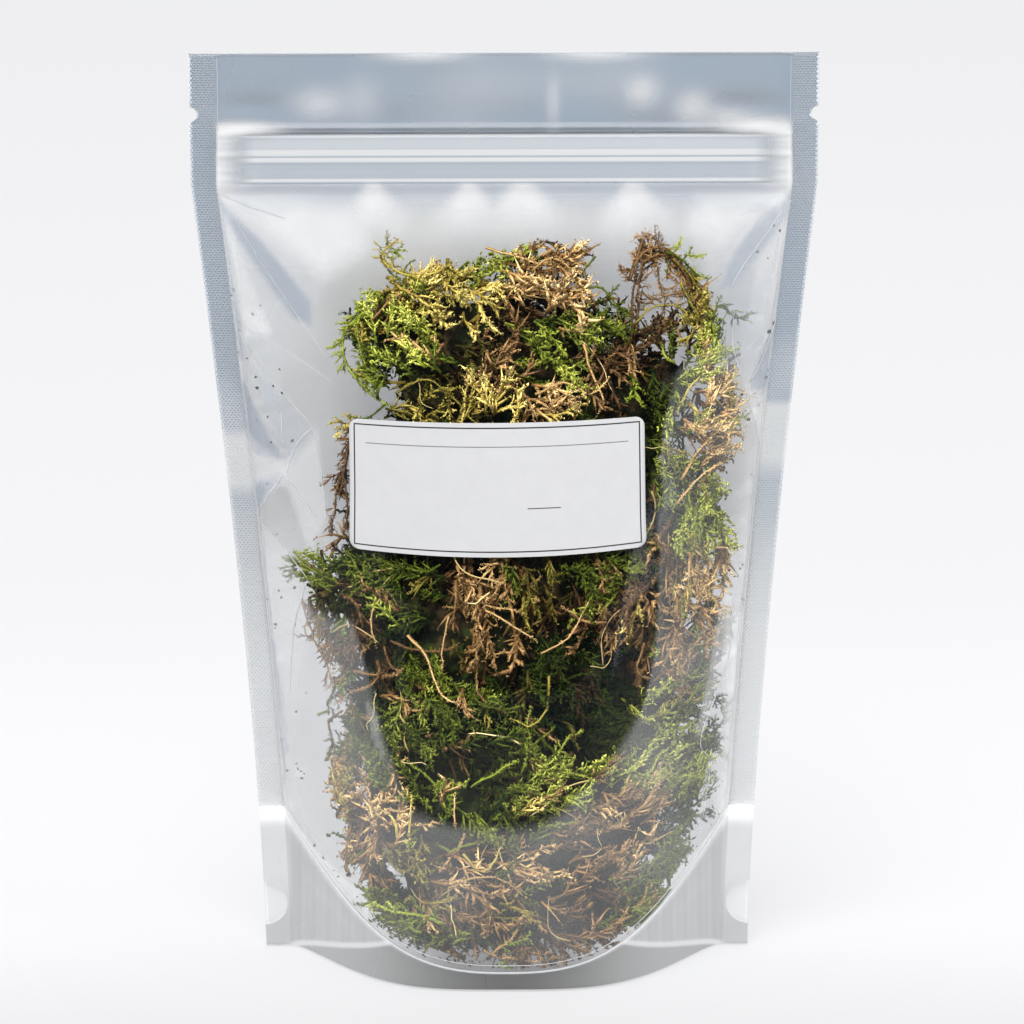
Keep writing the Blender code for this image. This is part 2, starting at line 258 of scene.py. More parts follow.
def pucker(x, z, place, length, breadth, height):
    """A fold that hangs from the zip, sharp at its top and wide at its end."""
    t = (ZIP_LOW - 3 - z) / length
    spread = breadth * (0.25 + 0.75 * np.clip(t, 0, 1))
    across_it = np.clip(1 - np.abs(x - place) / spread, 0, 1)
    return height * smoothstep(across_it) * smoothstep(t * 3.5) * smoothstep(1.15 - t)


def soft_noise(x, z, size, seed):
    """Smooth bumps of about that size, from -1 to 1."""
    draw = np.random.default_rng(seed)
    total = np.zeros_like(x)
    for _ in range(7):
        angle = draw.uniform(0, math.tau)
        wave = math.tau / (size * draw.uniform(0.75, 1.5))
        along = x * math.cos(angle) + z * math.sin(angle)
        total = total + np.sin(along * wave + draw.uniform(0, math.tau))
    return total / 4


def facets(x, z, size, seed):
    """Flat facets that meet in straight creases, as in a crumpled sheet, from 0 to 1."""
    draw = np.random.default_rng(seed)
    total = np.zeros_like(x)
    for _ in range(4):
        angle = draw.uniform(0, math.pi)
        along = (x * math.cos(angle) + z * math.sin(angle)) / (size * draw.uniform(0.8, 1.3))
        along = along + 0.35 * soft_noise(x, z, size * 3, draw.integers(1000)) + draw.uniform(0, 1)
        total = total + np.abs(along % 2 - 1)
    return total / 4


def side_puckers(x, z, seed):
    """Short folds that run in from the side seals."""
    draw = np.random.default_rng(seed)
    total = np.zeros_like(x)
    for side in (-1, 1):
        for place in np.linspace(46, 198, PUCKERS_A_SIDE):
            start_z = place + draw.uniform(-2.5, 2.5)
            start = (side * (half_width(start_z) - SIDE_SEAL), start_z)
            reach = draw.uniform(5, 15)
            slope = draw.uniform(-0.9, 0.7)
            end = (start[0] - side * reach, start_z + reach * slope)
            total += crease(x, z, start, end, draw.uniform(1.2, 2.8), draw.uniform(0.15, 0.5))
    return total


def label_cover(x, z):
    """1 under the label and 0 away from it."""
    beside = np.abs(x - LABEL_CENTRE_X) - LABEL_WIDTH / 2
    above = np.abs(z - LABEL_CENTRE_Z) - LABEL_HEIGHT / 2
    return 1 - smoothstep(np.maximum(beside, above) / LABEL_EASE)


def shared_wave(x, z, w):
    """How both panels wave together above the zip and along the seals."""
    header = smoothstep((z - ZIP_LOW - ZIP_TAPE - 1) / 7)
    swing = 0.26 * soft_noise(x, z * 0.6, 38, 5)
    for at, breadth, height in HEADER_BULGES:
        swing = swing - height * np.exp(-(((x - at) / breadth) ** 2) - ((z - BULGE_AT) / BULGE_RISE) ** 2)
    edge = smoothstep(np.abs(w) - 0.6) * smoothstep((z - SEAL_LINE_HIGH) / 20)
    near_zip = smoothstep(np.abs(z - ZIP_LOW - ZIP_TAPE / 2) / 14)
    side_swing = 0.35 * soft_noise(x * 0.3, z, 30, 8)
    return header * swing + (1 - header) * edge * near_zip * side_swing


def film_relief(x, z, w, side):
    """How far a panel's film stands out from its smooth form."""
    back = int(side > 0)
    between = smoothstep((1 - np.abs(w)) / 0.05)
    body = smoothstep((ZIP_LOW - 1 - z) / 5) * between
    above_flap = smoothstep((z - seal_line(w) - 1) / 8)
    puckers, creases = FOLDS[side]
    out = np.zeros_like(x)
    for fold in puckers:
        out += pucker(x, z, *fold)
    for fold in creases:
        out += crease(x, z, *fold)
    out += side_puckers(x, z, 21 + back)
    loose = smoothstep((np.abs(w) - LOOSE_BESIDE) / 0.25) + 0.5 * smoothstep((z - LOOSE_ABOVE) / 20)
    crumple = 1.4 * facets(x, z, 17, 31 + back) + 0.45 * facets(x, z, 8, 33 + back)
    out += crumple * np.clip(loose, 0, 1) * above_flap
    out += 0.25 * (1 + soft_noise(x, z, 42, 41 + back)) * above_flap
    out = out * body
    if not back:
        out = out * (1 - HELD_BY_LABEL * label_cover(x, z))
    ribs = sum(height * np.exp(-(((z - at) / breadth) ** 2)) for at, height, breadth in ZIP_RIBS)
    out += ribs * smoothstep((1 - np.abs(w)) / 0.02)
    open_top = smoothstep((z - ZIP_LOW - ZIP_TAPE - 2) / 10) * between
    return out + open_top * (0.3 + 0.13 * soft_noise(x, z, 30, 51 + back))


# Painted patches of the front film, where it shines white or mirrors the dark of the room: tone from 0,
# dark blue, to 1, white, how much the patch covers, how soft its edge is, and its convex outline in (x, z).
SHEEN_PATCHES = [
    (0.05, 0.34, 2, [(-74.3, 203), (-62, 191.2), (-49.4, 176), (-49.4, 170), (-54, 172), (-68, 192)]),
    (0, 0.3, 1, [(-69.5, 159.5), (-64.6, 150), (-56.6, 137.8), (-57.5, 134.2), (-64, 134.5), (-69, 142)]),
    (0.35, 0.22, 1, [(-65.2, 163.5), (-56.8, 151.5), (-49.5, 144.6), (-54, 134), (-57.5, 139)]),
    (0.05, 0.26, 0.8, [(-65, 125), (-62.8, 128.8), (-56.8, 130.6), (-60.2, 125.5), (-64.3, 118.5)]),
    (0.1, 0.22, 2.5, [(-75, 200), (-72, 200), (-67.5, 170), (-66.5, 160), (-70, 160)]),
    (1, 0.36, 9, [(-74, 205), (-42, 200), (-36, 190), (-46, 183), (-60, 194)]),
    (1, 0.26, 2.5, [(-71, 196), (-68.5, 190), (-58, 168), (-66, 166), (-70, 180)]),
    (1, 0.24, 3, [(-66, 140), (-55, 133), (-55, 128), (-67, 127)]),
    (1, 0.18, 2, [(-56, 130), (-48, 143), (-46, 121), (-50, 112)]),
    (0.9, 0.14, 2.5, [(-64, 117), (-56, 111), (-50, 96), (-55, 70), (-60, 86)]),
    (0.25, 0.2, 2, [(-62, 86), (-59, 84), (-55.5, 56), (-58, 52)]),
    (0.1, 0.26, 2, [(73.6, 203.5), (65, 197), (58.5, 188), (55.2, 179), (58, 179.5), (66, 189), (74, 199.5)]),
    (0.05, 0.3, 1, [(69.8, 169.5), (73, 162), (71.8, 150), (62.2, 152.2), (65.5, 162)]),
    (0.05, 0.2, 2, [(73.5, 190), (71.5, 190), (69.5, 176), (71, 168), (72.5, 176)]),
    (1, 0.32, 8, [(74, 205), (50, 202), (47, 194), (55, 191), (66, 199)]),
    (1, 0.14, 2, [(71.5, 194), (64, 184), (61, 168), (66, 166), (70, 178)]),
    (1, 0.24, 1, [(61.6, 151.2), (69.5, 149), (68.5, 137), (65.5, 136)]),
    (0.8, 0.14, 2, [(62, 136), (66, 136), (62, 92), (58, 92)]),
    (1, 0.16, 1.2, [(56, 99), (58, 99), (57, 82), (50, 62), (48.5, 62)]),
    (1, 0.34, 4, [(57, 92), (63, 92), (61, 50), (57, 34), (54, 40)]),
    (1, 0.14, 0.8, [(51.5, 54), (52.5, 54), (50.5, 37), (49, 37)]),
    (1, 0.1, 1, [(-36, 76), (-33, 72), (-31, 60), (-34, 66)]),
    (0.3, 0.16, 5, [(55, 186), (67, 180), (66, 156), (56, 158)]),
]
# Painted white highlights of the front film above the zip: (x, z, breadth, height, strength).
HEADER_GLOWS = [
    (-47, 226, 6, 4, 0.35), (-36, 227, 5, 6, 0.18), (-21, 239, 10, 2, 0.45), (23, 239, 11, 2, 0.42),
    (12.5, 226, 1.5, 6, 0.25), (35, 229, 4, 4, 0.38), (48, 225, 4.5, 4, 0.4), (65, 220.5, 9, 2, 0.75),
    (-67, 220, 9, 1.6, 0.75), (57, 223, 5, 2, 0.3), (20, 232, 20, 6, 0.1), (-8, 230, 12, 8, 0.1),
]
# Upper edge of the pale veil painted on the front film as its reflection of the floor: x and the height
# there.
PAINTED_VEIL_X = [-60, -39, -36, -31, -24.5, -14, 0, 10, 16, 27, 35, 38.5, 40.5, 43.5, 47, 60]
PAINTED_VEIL_Z = [98, 94, 84, 66, 48, 44.5, 44, 46, 50, 60, 72, 90, 146, 157, 163, 167]
PAINTED_VEIL = 0.108
# White peaks of painted highlight in the painted dark reflection under the zip: (x, breadth at the top).
ZIP_PEAKS = [(-33.4, 2.5), (-9, 2.5), (4.7, 4), (32.9, 3), (-74, 3), (74, 3)]
PEAK_SPREAD = 0.9
# Strengths of the painted dark reflection under the zip, of its painted white peaks and of the painted white
# at the zip's ends.
PAINTED_DARK_BAND = 0.52
PAINTED_BRIGHT_BAND = 0.30
ZIP_END_GLOW = 0.6


def inside_outline(x, z, outline, soft):
    """1 inside a convex outline, falling to 0 at its edge."""
    middle = np.mean(outline, axis=0)
    depth_in = np.full_like(x, 1e3)
    for (x0, z0), (x1, z1) in zip(outline, outline[1:] + outline[:1]):
        normal = np.array([z1 - z0, x0 - x1]) / math.hypot(x1 - x0, z1 - z0)
        if normal @ (middle - (x0, z0)) < 0:
            normal = -normal
        depth_in = np.minimum(depth_in, (x - x0) * normal[0] + (z - z0) * normal[1])
    return smoothstep(depth_in / soft + 0.5)


def film_sheen(x, z, w):
    """Tone and cover of the front film's painted sheen, highlights and reflections."""
    # A pale veil over the lower film: painted reflection of the floor, with a ragged upper edge.
    ragged = 1.2 * soft_noise(x, z, 13, 91)
    edge = np.interp(x + ragged * 0.3, PAINTED_VEIL_X, PAINTED_VEIL_Z)
    painted_veil = PAINTED_VEIL * smoothstep((edge - z + ragged) / 5 + 0.5) * (0.75 + 0.25 * soft_noise(x, z, 26, 92))
    painted_veil = painted_veil * (1 - 0.45 * smoothstep((x - 34) / 8) * smoothstep((z - 80) / 20))
    painted_veil = painted_veil * (1 - 0.2 * smoothstep((34 - z) / 16)) * smoothstep((z - seal_line(w)) / 2 + 0.5)
    # Under the zip: a painted dark reflection, broken by white peaks of painted highlight.
    below_zip = np.clip(ZIP_LOW - z, 0, 40)
    peaks = np.zeros_like(x)
    for at, breadth in ZIP_PEAKS:
        reach = breadth + PEAK_SPREAD * below_zip
        peaks = np.maximum(peaks, smoothstep(1.25 - np.abs(x - at) / reach))
    under_zip = smoothstep((z - 196) / 9)
    painted_dark_band = PAINTED_DARK_BAND * under_zip * (1 - peaks)
    painted_bright_band = PAINTED_BRIGHT_BAND * smoothstep((z - 190) / 11) * peaks
    inside = z < ZIP_LOW + ZIP_TAPE
    cover = painted_veil + (painted_dark_band + painted_bright_band) * inside
    tone = (painted_veil * 0.9 + (painted_bright_band + painted_dark_band * 0.35) * inside) / np.maximum(cover, 1e-6)
    # Painted highlights above the zip and at the zip's ends, and the painted patches.
    glow = sum(
        strength * np.exp(-(((x - at_x) / breadth) ** 2) - ((z - at_z) / height) ** 2)
        for at_x, at_z, breadth, height, strength in HEADER_GLOWS
    )
    near_end = smoothstep((np.abs(w) - 0.86) / 0.12)
    zip_end = ZIP_END_GLOW * near_end * smoothstep((10 - np.abs(z - 212)) / 4)
    masks = [(tone_of, inside_outline(x, z, outline, soft) * strength)
             for tone_of, strength, soft, outline in SHEEN_PATCHES]
    for patch_tone, mask in masks + [(1.0, np.clip(glow, 0, 0.9)), (1.0, zip_end)]:
        cover = cover * (1 - mask) + mask
        tone = tone + (patch_tone - tone) * mask / np.maximum(cover, 1e-6)
    beside_zip = np.maximum(ZIP_LOW - z, z - ZIP_LOW - ZIP_TAPE)
    shown = np.maximum(smoothstep(beside_zip / 1.5 + 0.5), near_end)
    return tone, cover * smoothstep((1.005 - np.abs(w)) / 0.02) * shown


def film_points(w, z, side):
    """Middle of the film with its waves, creases and ribs."""
    flat = panel_point(w, z, side)
    x = flat[..., 0]
    flat = flat + panel_normal(w, z, side) * film_relief(x, z, w, side)[..., None]
    flat[..., 1] += shared_wave(x, z, w)
    return flat


# Making meshes

def deselect():
    bpy.ops.object.select_all(action="DESELECT")


def vertex_values(mesh, name):
    """A vector of each vertex, such as its place or its normal."""
    values = np.empty(len(mesh.vertices) * 3, np.float32)
    mesh.vertices.foreach_get(name, values)
    return values.reshape(-1, 3)


def flat32(values):
    return values.astype(np.float32).ravel()


def grid_sheet(name, points, uv, fields=None):
    """A sheet made from Blender's grid, with its vertices laid on points of shape (rows, columns, 3).

    fields names numbers of shape (rows, columns) that the finish reads as attributes.
    """
    rows, columns = points.shape[:2]
    deselect()
    bpy.ops.mesh.primitive_grid_add(x_subdivisions=columns - 1, y_subdivisions=rows - 1, size=2)
    sheet = bpy.context.object
    sheet.name = name
    mesh = sheet.data
    mesh.name = name
    place = (vertex_values(mesh, "co") + 1) / 2
    column = np.rint(place[:, 0] * (columns - 1)).astype(int)
    row = np.rint(place[:, 1] * (rows - 1)).astype(int)
    mesh.vertices.foreach_set("co", flat32(points[row, column] * MM))
    corners = np.empty(len(mesh.loops), np.int32)
    mesh.loops.foreach_get("vertex_index", corners)
    layer = mesh.uv_layers.active
    layer.name = "OFBake"
    layer.data.foreach_set("uv", flat32(uv[row, column][corners]))
    for field, values in (fields or {}).items():
        attribute = mesh.attributes.new(field, "FLOAT", "POINT")
        attribute.data.foreach_set("value", flat32(values[row, column]))
    mesh.shade_smooth()
    mesh.update()
    return sheet


def activate(obj):
    """Makes it the one selected object."""
    deselect()
    obj.select_set(True)
    bpy.context.view_layer.objects.active = obj


def apply_modifier(obj, kind, **settings):
    modifier = obj.modifiers.new(kind.lower(), kind)
    for name, value in settings.items():
        setattr(modifier, name, value)
    activate(obj)
    bpy.ops.object.modifier_apply(modifier=modifier.name)


def edit_mesh(obj, tool, **settings):
    """Runs one of Blender's mesh tools on the whole mesh."""
    activate(obj)
    bpy.ops.object.mode_set(mode="EDIT")
    bpy.ops.mesh.select_all(action="SELECT")
    tool(**settings)
    bpy.ops.object.mode_set(mode="OBJECT")


def give_finish(obj, material):
    obj.data.materials.clear()
    obj.data.materials.append(material)


def keep(obj, material, node):
    """Gives a piece its finish and puts it in the place of its solid."""
    give_finish(obj, material)
    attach(obj, "root")
    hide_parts(node)
    return obj


# Shader maths

def operator(operation, turned=False):
    """A method that adds a Math node."""
    def method(self, other=0.0):
        first, second = (other, self) if turned else (self, other)
        return self.finish.node("ShaderNodeMath", {0: first, 1: second}, operation=operation)
    return method


class Value:
    """A node's output. Python's operators on it add Math nodes."""

    __add__ = __radd__ = operator("ADD")
    __mul__ = __rmul__ = operator("MULTIPLY")
    __sub__ = operator("SUBTRACT")
    __rsub__ = operator("SUBTRACT", turned=True)
    __truediv__ = operator("DIVIDE")
    __pow__ = operator("POWER")
    __abs__ = operator("ABSOLUTE")
    sine = operator("SINE")
    whole = operator("FLOOR")
    at_most = operator("MINIMUM")
    at_least = operator("MAXIMUM")

    def __init__(self, finish, socket):
        self.finish = finish
        self.socket = socket

    def between(self, low, high):
        """0 below low, 1 above high and smooth between."""
        inputs = {0: self, 1: low, 2: high}
        return self.finish.node("ShaderNodeMapRange", inputs, interpolation_type="SMOOTHSTEP")


class Finish:
    """The nodes of a material, or of the world."""

    def __init__(self, owner):
        owner.use_nodes = True
        self.owner = owner
        self.tree = owner.node_tree
        self.tree.nodes.clear()

    def node(self, kind, inputs=None, output=0, **settings):
        """Adds a node, sets it up and fills its sockets with values, colours or links."""
        made = self.tree.nodes.new(kind)
        for name, value in settings.items():
            setattr(made, name, value)
        for key, value in (inputs or {}).items():
            socket = made.inputs[key]
            if isinstance(value, Value):
                self.tree.links.new(value.socket, socket)
            else:
                socket.default_value = (*value, 1) if isinstance(value, tuple) else value
        return Value(self, made.outputs[output])

    def place(self):
        return self.node("ShaderNodeTexCoord", output="Object")

    def split(self, vector):
        """The three parts of a vector."""
        parts = self.node("ShaderNodeSeparateXYZ", {0: vector}).socket.node
        return [Value(self, socket) for socket in parts.outputs]

    def uv(self):
        """The piece's own map as two values."""
        return self.split(self.node("ShaderNodeUVMap", uv_map="OFBake"))[:2]

    def field(self, name):
        """A number that the mesh holds for each vertex."""
        return self.node("ShaderNodeAttribute", output="Fac", attribute_name=name)

    def noise(self, vector, scale, detail):
        inputs = {"Vector": vector, "Scale": scale, "Detail": detail}
        return self.node("ShaderNodeTexNoise", inputs, "Fac")

    def blend(self, factor, first, second):
        """Mixes two colours."""
        return self.node("ShaderNodeMix", {0: factor, 6: first, 7: second}, 2, data_type="RGBA")

    def ramp(self, factor, stops):
        """A run of colours. stops are (place, colour)."""
        made = self.node("ShaderNodeValToRGB", {0: factor})
        elements = made.socket.node.color_ramp.elements
        while len(elements) < len(stops):
            elements.new(1.0)
        for element, (place, colour) in zip(elements, stops):
            element.position = place
            element.color = (*colour, 1)
        return made

    def bump(self, height, distance):
        return self.node("ShaderNodeBump", {"Height": height, "Distance": distance, "Strength": 1.0})

    def principled(self, **sockets):
        inputs = {name.replace("_", " "): value for name, value in sockets.items()}
        return self.node("ShaderNodeBsdfPrincipled", inputs)

    def over(self, share, under, upper):
        """Lays one shader over another."""
        return self.node("ShaderNodeMixShader", {0: share, 1: under, 2: upper})

    def see_through(self, cover, shader, tint=(0.97, 0.975, 0.98)):
        """A shader that lets light through where cover is under 1."""
        return self.over(cover, self.node("ShaderNodeBsdfTransparent", {0: tint}), shader)

    def done(self, shader):
        """Links the last shader and gives back the material or the world."""
        is_world = self.owner.id_type == "WORLD"
        output = self.tree.nodes.new("ShaderNodeOutputWorld" if is_world else "ShaderNodeOutputMaterial")
        self.tree.links.new(shader.socket, output.inputs["Surface"])
        if not is_world:
            # Glowing surfaces aren't searched for like lamps, which keeps the render short.
            self.owner.cycles.emission_sampling = "NONE"
        return self.owner


def new_finish(name):
    return Finish(bpy.data.materials.new(name))


# Finishes of the pouch

KNURL_FROM = 36
KNURL_PITCH = 0.95
KNURL_ROW = 0.62
KNURL_DEPTH = 0.00012
# The bottom film's crease: its height in the middle and how steeply it falls to the sides.
CREASE_HEIGHT = 24
CREASE_SLOPE = 0.42


def w_of(u):
    """How far across a panel a place of its map lies, 1 at the side seal's inner edge."""
    return abs((u - 0.5) * 4)


def on_seal(w):
    return w.between(0.99, 1.03)


def knurl(w, z):
    """Height of the seals' pressed pattern, staggered dashes."""
    row = (z / KNURL_ROW).whole()
    dash = ((w * SIDE_SEAL / KNURL_PITCH + row * 0.5) * math.tau).sine()
    across_row = ((z / KNURL_ROW) * math.tau).sine()
    dashes = (dash * 0.5 + 0.5) * (across_row * 0.5 + 0.5)
    return dashes * on_seal(w) * z.between(KNURL_FROM - 3, KNURL_FROM + 3)


def clear_film_finish():
    """Clear plastic: see-through, with a mirror's reflection that grows at a slant, and painted sheen and
    reflections.
    """
    finish = new_finish("clear_film")
    seal = on_seal(w_of(finish.uv()[0]))
    slant = finish.node("ShaderNodeLayerWeight", {"Blend": 0.5}, "Facing")
    shine = slant**5 * 0.9 + 0.01 + seal * 0.05
    gloss = finish.principled(Base_Color=(0.95, 0.97, 1.0), Metallic=1.0, Roughness=0.07)
    # Painted sheen and reflections, from dark blue to white, where the film's fields lay them.
    tone = finish.blend(finish.field("film_tone"), (0.30, 0.37, 0.47), (0.95, 0.95, 0.95))
    sheen = finish.principled(Base_Color=tone, Roughness=0.4)
    covered = finish.see_through(finish.field("film_cover"), sheen, (0.985, 0.988, 0.99))
    return finish.done(finish.over(shine, covered, gloss))


def foil_tint(finish):
    """Soft clouds in the metal, from 0 to 1."""
    return finish.noise(finish.place(), 26, 1).between(0.35, 0.65)


def bottom_film_finish():
    """Thinner silver film with painted shade under its crease line, and a painted glow that stands for light
    from behind.
    """
    finish = new_finish("silver_bottom")
    x, _, z = finish.split(finish.place())
    x, z = abs(x / MM), z / MM
    u, across_film = finish.uv()
    front_hem = 1 - across_film.between(0.10, 0.12)
    slope = x * CREASE_SLOPE + z
    under = 1 - slope.between(CREASE_HEIGHT - 0.6, CREASE_HEIGHT + 0.4)
    # A painted highlight just under the crease line.
    rim = slope.between(CREASE_HEIGHT - 1.2, CREASE_HEIGHT - 0.2)
    rim = rim * (1 - slope.between(CREASE_HEIGHT + 0.2, CREASE_HEIGHT + 1.4))
    # Painted streaks of light and shade on the sides, as of soft folds.
    streaks = ((x * 0.9).sine() * (x * 2.3 + z * 0.06).sine() * 0.5 + 0.5) * 0.35
    beside = finish.blend(streaks, (0.57, 0.575, 0.575), (0.72, 0.72, 0.715))
    seal_strip = finish.blend(z.between(4, 22), (0.70, 0.695, 0.69), (0.96, 0.955, 0.95))
    beside = finish.blend(w_of(u).between(0.97, 1.03), beside, seal_strip)
    # Painted shade under the crease line, darkest in the middle.
    below = finish.blend(x.between(0, 44), (0.19, 0.19, 0.18), (0.50, 0.50, 0.495))
    colour = finish.blend(under, beside, below)
    colour = finish.blend(rim * 0.7, colour, (0.98, 0.98, 0.98))
    # A painted glow on the floor and back hem, for light from behind that shows through.
    painted_glow = finish.blend(x.between(10, 34), (0.15, 0.15, 0.152), (0.44, 0.44, 0.445))
    painted_glow = finish.blend(front_hem, painted_glow, (0.0, 0.0, 0.0))
    shader = finish.principled(
        Base_Color=colour,
        Metallic=0.3,
        Roughness=foil_tint(finish) * 0.1 + 0.25,
        Emission_Color=painted_glow,
        Emission_Strength=1.0,
    )
    return finish.done(finish.see_through(front_hem * 0.36 + 0.6, shader))


def silver_film_finish():
    """Metallised film, soft as brushed foil, with painted reflections. It lets some light through between its
    seals.
    """
    finish = new_finish("silver_film")
    z = finish.split(finish.place())[2] / MM
    u, v = finish.uv()
    w = w_of(u)
    tint = foil_tint(finish)
    pattern = knurl(w, v * HEIGHT)
    seal = on_seal(w)
    header = z.between(ZIP_LOW + 2, ZIP_LOW + ZIP_TAPE)
    window = (1 - seal) * (1 - header)
    # Painted reflection: near white low down, blue-grey high up.
    colour = finish.blend(z.between(80, 150), (0.98, 0.98, 0.975), (0.76, 0.81, 0.87))
    colour = finish.blend(tint * 0.4, colour, (0.95, 0.95, 0.96))
    # Painted reflection: darker blue-grey over the header.
    colour = finish.blend(header * (1 - seal) * 0.5, colour, (0.60, 0.66, 0.74))
    right = u.between(0.4, 0.6)
    smooth_left = z.between(122, 127) * (1 - z.between(138, 142)) * (1 - right)
    smooth = smooth_left + z.between(126, 134) * (1 - z.between(146, 149)) * right
    strength = z.between(60, 160) * 0.34 + 0.22 - smooth * 0.2
    # Painted reflection: the seals whiter low down.
    low_seal = finish.blend(1 - z.between(60, 110), colour, (1.0, 1.0, 0.995))
    seal_colour = finish.blend(pattern * strength, low_seal, (0.40, 0.45, 0.52))
    seal_colour = finish.blend(smooth, seal_colour, (0.99, 0.985, 0.97))
    metal = z.between(60, 140) * 0.4 + 0.2
    shader = finish.principled(
        Base_Color=finish.blend(window, seal_colour, (0.90, 0.90, 0.91)),
        Metallic=metal * (1 - window * 0.75) * (1 - smooth * 0.6),
        Roughness=tint * 0.1 + 0.18,
        Normal=finish.bump(pattern, KNURL_DEPTH),
    )
    open_part = 1.1 - z.between(95, 125) * (1 - z.between(176, 192)) * 0.25
    backed = (1 - w.between(0.45, 0.72)) * (1 - z.between(110, 155))
    return finish.done(finish.see_through(0.98 - window * open_part * (0.7 - backed * 0.45), shader))


# Painted highlights on the zip's lines and ridges, as (z, half breadth, strength), and the fine dark lines on
# them.
ZIP_HIGHLIGHTS = [(217.8, 0.35, 0.9), (215.8, 1.2, 0.4), (213.6, 0.75, 1), (211.7, 0.5, 1), (206.4, 0.4, 1)]
ZIP_COVER = 0.88
ZIP_DARK = [(212.5, 0.12, 0.5), (210.6, 0.15, 0.35), (205.7, 0.15, 0.6)]


def zip_finish():
    """Milky plastic over silver film: grey tapes, fine lines and painted highlights on the ridges, whiter to
    the ends.
    """
    finish = new_finish("zip_plastic")
    x, _, z = finish.split(finish.place())
    x, z = x / MM, z / MM
    bright = abs(x).between(60, 74) * 0.7
    # Painted highlights along the zip's lines and ridges.
    for at, breadth, strength in ZIP_HIGHLIGHTS:
        bright = bright.at_least((1 - abs(z - at).between(breadth * 0.7, breadth * 1.5)) * strength)
    dark = 0.0
    for at, breadth, strength in ZIP_DARK:
        dark = dark + (1 - abs(z - at).between(breadth * 0.5, breadth * 1.5)) * strength
    weave = ((x / 0.9).sine() * (z * 9.0).sine() * 0.5 + 0.5) * 0.25
    colour = finish.blend(weave, (0.66, 0.71, 0.76), (0.50, 0.56, 0.62))
    colour = finish.blend(bright, colour, (0.98, 0.98, 0.98))
    colour = finish.blend(dark, colour, (0.42, 0.47, 0.52))
    return finish.done(finish.see_through(ZIP_COVER, finish.principled(Base_Color=colour, Roughness=0.3)))


BORDER_INSET = 1.3
BORDER_LINE = 0.28


def paper_finish():
    """White label paper with a printed border and two plain rules."""
    finish = new_finish("label_paper")
    u, v = finish.uv()
    x = (u - 0.5) * LABEL_WIDTH
    z = (v - 0.5) * LABEL_HEIGHT
    beside = LABEL_WIDTH / 2 - BORDER_INSET - abs(x)
    above = LABEL_HEIGHT / 2 - BORDER_INSET - abs(z)
    border = 1 - abs(beside.at_most(above)).between(BORDER_LINE * 0.4, BORDER_LINE * 0.8)
    header = (1 - abs(z - 10.6).between(0.06, 0.16)) * (1 - abs(x).between(33.2, 33.4)) * 0.75
    short = (1 - abs(z + 4.6).between(0.08, 0.2)) * (1 - abs(x - 11.8).between(4.1, 4.3)) * 0.85
    ink = border.at_least(header).at_least(short)
    fibres = finish.noise(finish.place(), 260, 4)
    paper = finish.blend(fibres, (0.64, 0.64, 0.645), (0.70, 0.70, 0.705))
    shader = finish.principled(
        Base_Color=finish.blend(ink, paper, (0.02, 0.02, 0.022)),
        Roughness=fibres * 0.15 + 0.45,
        Normal=finish.bump(fibres, 0.00003),
    )
    return finish.done(shader)


# The films

COLUMNS_INSIDE = 141
COLUMNS_IN_SEAL = 7
HEM_ROWS = 5
FLOOR_ROWS = 33


def film_columns():
    inside = np.sin(np.linspace(-1, 1, COLUMNS_INSIDE) * math.pi / 2 * 0.86) / math.sin(math.pi / 2 * 0.86)
    seal = np.linspace(1, 2, COLUMNS_IN_SEAL + 1)[1:]
    return np.concatenate([-seal[::-1], inside, seal])


def film_rows():
    low = np.arange(0.1, 200, 0.95)
    ribs = np.arange(200, 219, 0.42)
    notch = np.arange(221.2, 225.6, 0.28)
    return np.concatenate([low, ribs, [219.4, 220.3], notch, np.linspace(225.9, HEIGHT, 14)])


def make_panel(name, side, material):
    w, z = np.meshgrid(film_columns(), film_rows())
    uv = np.stack([w / 4 + 0.5, z / HEIGHT], axis=-1)
    points = film_points(w, z, side)
    notch = np.sqrt(np.maximum(NOTCH_RADIUS**2 - (z - NOTCH_HEIGHT) ** 2, 0))
    points[..., 0] -= np.sign(w) * np.clip(np.abs(w) - 1, 0, 1) * notch
    if side < 0:
        tone, cover = film_sheen(across(w, z), z, w)
        panel = grid_sheet(name, points, uv, {"film_tone": tone, "film_cover": cover})
    else:
        panel = grid_sheet(name, points, uv)
        edit_mesh(panel, bpy.ops.mesh.flip_normals)
    apply_modifier(panel, "SOLIDIFY", thickness=FILM * MM, offset=0)
    keep(panel, material, name)


def inside_panel(w, z, side):
    """A row of the sheet that lies against the inside of a panel."""
    return panel_point(w, z, side) - panel_normal(w, z, side) * (FILM + GAP)


